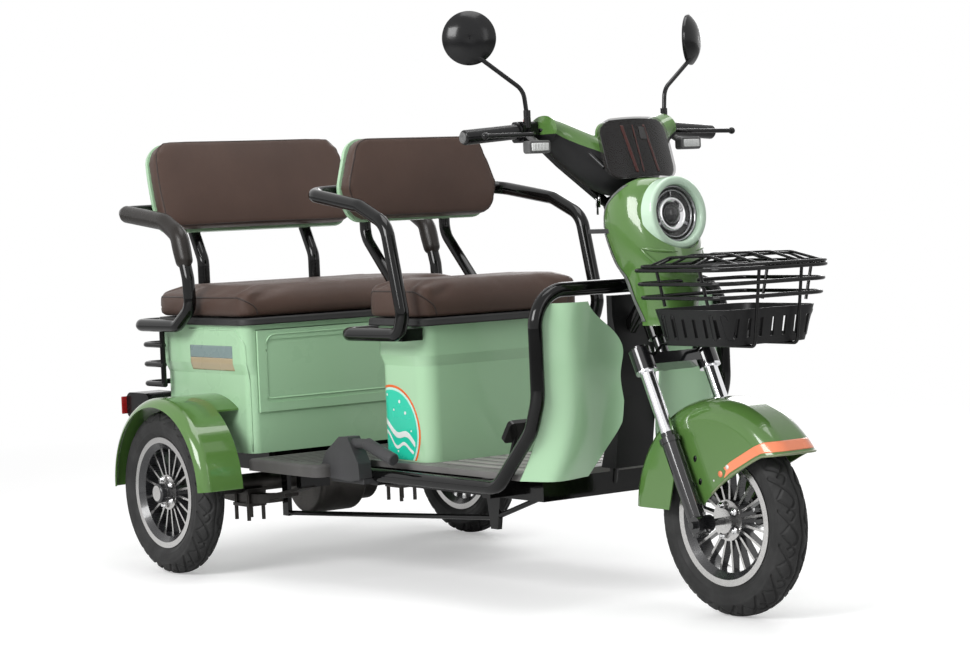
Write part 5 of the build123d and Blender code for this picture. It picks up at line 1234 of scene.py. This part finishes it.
def fender_ribbon():
    """Coral ribbon with notched tails along the lower front edge, and a thin bead below it."""
    tree = surface_of("front_fender")
    columns, rows = 130, 10
    reach = math.radians(97)
    found = []
    for j in range(rows + 1):
        share = j / rows
        notch = math.radians(6.0) * (1 - abs(2 * share - 1))
        for i in range(columns + 1):
            turn = (reach - notch) * (2 * i / columns - 1)
            found.append(fender_point(tree, turn, 0.009 + 0.022 * share, 0.0005))
    steered("fender_ribbon", thick(*netted(found, columns, rows), 0.0004), CORAL_FILM, "green_plastic")
    bead = [fender_point(tree, math.radians(-125 + 250 * i / 120), 0.0025, -0.0005) for i in range(121)]
    steered("fender_bead", tube(met(bead), 0.0026, 8), BEAD_GREEN, "green_plastic")


def fan(found):
    """Sheet from a middle point, given first, to the ring of points round it."""
    count = len(found) - 1
    return found, [(0, 1 + i, 1 + (i + 1) % count) for i in range(count)]


def fender_marks(name, side, spots, finish, slot, stretch=1.0, lean=0.0):
    """Small round or oval marks on the front fender: spots are (x, z, radius) in millimetres."""
    tree = surface_of("front_fender")
    y = side * 140
    parts = []
    for x, z, radius in spots:
        ring = [at(x, y, z)]
        for turn in turns(24):
            dx, dz = math.cos(turn) * radius, math.sin(turn) * radius * stretch
            across = dx * math.cos(lean) + dz * math.sin(lean)
            ring.append(at(x + across, y, z + dz * math.cos(lean) - dx * math.sin(lean)))
        found = laid_on(tree, ring, (0, -side, 0), 0.0006)
        if all(p is not None for p in found):
            parts.append(fan(found))
    steered(f"{name}_{HANDS[side]}", thick(*merged(parts), 0.0004), finish, slot)


seat_box_badge()
for side in HANDS:
    box_side_bands(side)
fender_ribbon()
FENDER_HOLES = [(1543, 340, 5), (1557, 292, 5)]
for side in HANDS:
    fender_marks("fender_dot_coral", side, [(1621, 312, 7)], CORAL_FILM, "green_plastic")
    fender_marks("fender_dots_white", side, [(1643, 328, 5), (1600, 297, 2.2)], WHITE_FILM, "green_plastic")
    fender_marks("fender_holes", side, FENDER_HOLES, BLACK_STEEL, "black_steel", 1.45, 0.25)


def box_recess():
    """Slanted oval finger recess with its lip, low on the front of the seat box."""
    tree = surface_of("front_seat_box")
    ring = []
    for turn in turns(36):
        across, rise = math.cos(turn) * 30, math.sin(turn) * 17
        ring.append(at(900, 28 + across * 0.95 - rise * 0.3, 350 + rise * 0.95 + across * 0.3))
    found = laid_on(tree, [at(900, 28, 350)] + ring, (-1, 0, 0), 0.0005)
    new_piece("box_recess", *thick(*fan(found), 0.0004), BLACK_STEEL, "chassis", "black_plastic")
    lip = laid_on(tree, ring, (-1, 0, 0), 0.0004)
    new_piece("box_recess_lip", *tube(lip, 0.0016, 8, closed=True), BLACK_SATIN, "chassis", "black_plastic")


box_recess()


def tail_lens(side):
    """Ribbed red lens on the back of a tail lamp."""
    low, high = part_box("tail_lamps")
    middle = Vector((low.x, side * 0.385, (low.z + high.z) / 2))
    parts = [rounded_block(middle, (0.005, 0.046, 0.046), 0.002)]
    for index in range(-2, 3):
        rib = middle + Vector((-0.0022, 0, index * 0.009))
        parts.append(rounded_block(rib, (0.002, 0.042, 0.003), 0.0008))
    new_piece("tail_lens_" + HANDS[side], *merged(parts), RED_LENS, "chassis", "lamp_red")


for side in HANDS:
    tail_lens(side)


def bolt_head(place, axis):
    """Domed bolt head on a washer."""
    radius = height = 0.005
    profile = [
        (-0.002, radius * 1.5), (0.0008, radius * 1.5), (0.0012, radius * 1.4), (0.0012, radius),
        (height, radius), (height * 1.3, radius * 0.7), (height * 1.35, 0.00001),
    ]
    return lathe(profile, place, axis, 18)


def hub_bolts(name, body, centre, sides):
    """Ring of bolt heads on a wheel hub."""
    parts = []
    for side in sides:
        for index in range(5):
            turn = 2 * math.pi * (index + 0.5) / 5
            spot = centre + Vector((math.cos(turn) * 0.034, side * 0.026, math.sin(turn) * 0.034))
            parts.append(bolt_head(spot, (0, side, 0)))
    new_piece(name, *merged(parts), CHROME, body, "cast_alloy")


for wheel, (node, body, centre, sides) in WHEELS.items():
    hub_bolts(wheel + "_hub_bolts", body, centre, sides)

RIB_GREY = grained("rib_grey", rgb(0.30, 0.29, 0.28), rough=0.4)


def floor_ribs():
    """Raised ribs along the driver's floor."""
    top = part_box("front_floorboard")[1].z
    middle = at(965, 0, 0).x
    parts = [
        rounded_block(Vector((middle, index * 0.046, top + 0.0004)), (0.33, 0.022, 0.003), 0.001)
        for index in range(-4, 5)
    ]
    new_piece("floor_ribs", *merged(parts), RIB_GREY, "chassis", "step_plastic")


floor_ribs()


def door_frame_line():
    """Pressed inner frame on the storage door."""
    tree = surface_of("rear_box_door")
    low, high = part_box("rear_box_door")
    side, foot, head = 0.026, 0.034, 0.012
    left, right, bottom, top = low.y + side, high.y - side, low.z + foot, high.z - head
    places = [(0.0, bottom), (left, bottom), (left, top), (right, top), (right, bottom), (0.001, bottom)]
    corners = [Vector((high.x + 0.1, y, z)) for y, z in places]
    line = evenly(rounded(corners, [0.012, 0.03, 0.03, 0.012], 8), 0.008)
    found = met(laid_on(tree, line, (-1, 0, 0), -0.0002))
    new_piece("door_frame_line", *tube(found, 0.0022, 8, closed=True), MINT_PAINT, "box_door", "mint_paint")


door_frame_line()


# ================================================================ floor, light and camera
def pale_floor():
    """Wide pale floor that keeps the shadow near the object and fades into the white background."""
    g = Graph("pale_floor")
    x = g.axis(0)
    y = g.axis(1)
    distance = g.math("SQRT", g.math("ADD", g.math("MULTIPLY", x, x), g.math("MULTIPLY", y, y)))
    fade = g.ramp(distance, 1.3, 4.5)
    is_camera = g.tree.nodes.new("ShaderNodeLightPath").outputs["Is Camera Ray"]
    lift = g.mix(is_camera, rgb(0, 0, 0), rgb(0.34, 0.34, 0.34))
    tone = g.ramp(g.noise(1.5, 3.0), 0.3, 0.7, 0.78, 0.8)
    g.finish(Base_Color=tone, Roughness=0.7, Emission_Color=lift, Emission_Strength=1.0)
    white = g.add("ShaderNodeEmission", {"Color": rgb(1, 1, 1), "Strength": 1.0}).outputs[0]
    seen = g.math("MULTIPLY", fade, is_camera)
    blend = g.add("ShaderNodeMixShader", {0: seen, 1: g.bsdf.outputs[0], 2: white})
    g.tree.links.new(blend.outputs[0], g.tree.nodes["Material Output"].inputs["Surface"])
    return g.material


def soft_box(name, place, target, size, watts):
    """Rectangular studio lamp aimed at a point."""
    lamp = bpy.data.lights.new(name, "AREA")
    lamp.shape = "RECTANGLE"
    lamp.size, lamp.size_y = size
    lamp.energy = watts
    holder = bpy.data.objects.new(name, lamp)
    bpy.context.scene.collection.objects.link(holder)
    holder.location = place
    holder.rotation_euler = (Vector(target) - Vector(place)).to_track_quat("-Z", "Y").to_euler()


def white_world():
    """White to the camera and in reflections, and a plain soft fill on everything else."""
    world = bpy.data.worlds.new("studio")
    bpy.context.scene.world = world
    world.use_nodes = True
    tree = world.node_tree
    background = tree.nodes["Background"]
    background.inputs["Color"].default_value = rgb(1, 1, 1)
    rays = tree.nodes.new("ShaderNodeLightPath")
    seen = rays.outputs["Is Camera Ray"]
    for ray in ("Is Glossy Ray", "Is Transmission Ray"):
        both = tree.nodes.new("ShaderNodeMath")
        both.operation = "MAXIMUM"
        tree.links.new(seen, both.inputs[0])
        tree.links.new(rays.outputs[ray], both.inputs[1])
        seen = both.outputs[0]
    level = tree.nodes.new("ShaderNodeMapRange")
    level.inputs["To Min"].default_value = FILL_LEVEL
    tree.links.new(seen, level.inputs["Value"])
    tree.links.new(level.outputs[0], background.inputs["Strength"])


FILL_LEVEL = 0.3
floor_mesh = bpy.data.meshes.new("floor")
FLOOR_HALF = 40.0
corners = [(x * FLOOR_HALF, y * FLOOR_HALF, 0) for x, y in ((-1, -1), (1, -1), (1, 1), (-1, 1))]
floor_mesh.from_pydata(corners, [], [(0, 1, 2, 3)])
floor_mesh.materials.append(pale_floor())
floor = bpy.data.objects.new("floor", floor_mesh)
bpy.context.scene.collection.objects.link(floor)
white_world()
soft_box("key_light", (0.9, -4.3, 2.7), (0.0, 0.0, 0.5), (2.4, 1.8), 185.0)
soft_box("top_light", (0.4, 0.3, 4.2), (0.0, 0.0, 0.4), (3.0, 2.0), 70.0)
soft_box("front_light", (4.6, 0.6, 2.0), (0.6, 0.0, 0.6), (1.2, 2.2), 16.0)
soft_box("back_light", (-2.6, 3.8, 2.4), (0.0, 0.0, 0.5), (2.4, 2.0), 55.0)
bpy.context.scene.view_settings.view_transform = "Standard"

# Camera solved from the wheels and bars: place and angles about the rear axle's frame.
CAMERA_PLACE = Vector((5.53704 - AXLE_TO_MIDDLE, -3.58568, 0.90450))
CAMERA_YAW = 2.5011
CAMERA_PITCH = 0.0488
CAMERA_ROLL = -0.0422
CAMERA_LENS = 93.24
forward = Vector((
    math.cos(CAMERA_YAW) * math.cos(CAMERA_PITCH),
    math.sin(CAMERA_YAW) * math.cos(CAMERA_PITCH),
    -math.sin(CAMERA_PITCH),
))
right = Vector((math.sin(CAMERA_YAW), -math.cos(CAMERA_YAW), 0.0))
up = right.cross(forward)
side = math.cos(CAMERA_ROLL) * right + math.sin(CAMERA_ROLL) * up
top = math.cos(CAMERA_ROLL) * up - math.sin(CAMERA_ROLL) * right
camera_data = bpy.data.cameras.new("photo_camera")
camera_data.lens = CAMERA_LENS
camera_data.sensor_width = 36.0
camera_data.clip_end = 200.0
camera = bpy.data.objects.new("photo_camera", camera_data)
bpy.context.scene.collection.objects.link(camera)
camera.matrix_world = Matrix((
    (side.x, top.x, -forward.x, CAMERA_PLACE.x),
    (side.y, top.y, -forward.y, CAMERA_PLACE.y),
    (side.z, top.z, -forward.z, CAMERA_PLACE.z),
    (0.0, 0.0, 0.0, 1.0),
))
bpy.context.scene.camera = camera
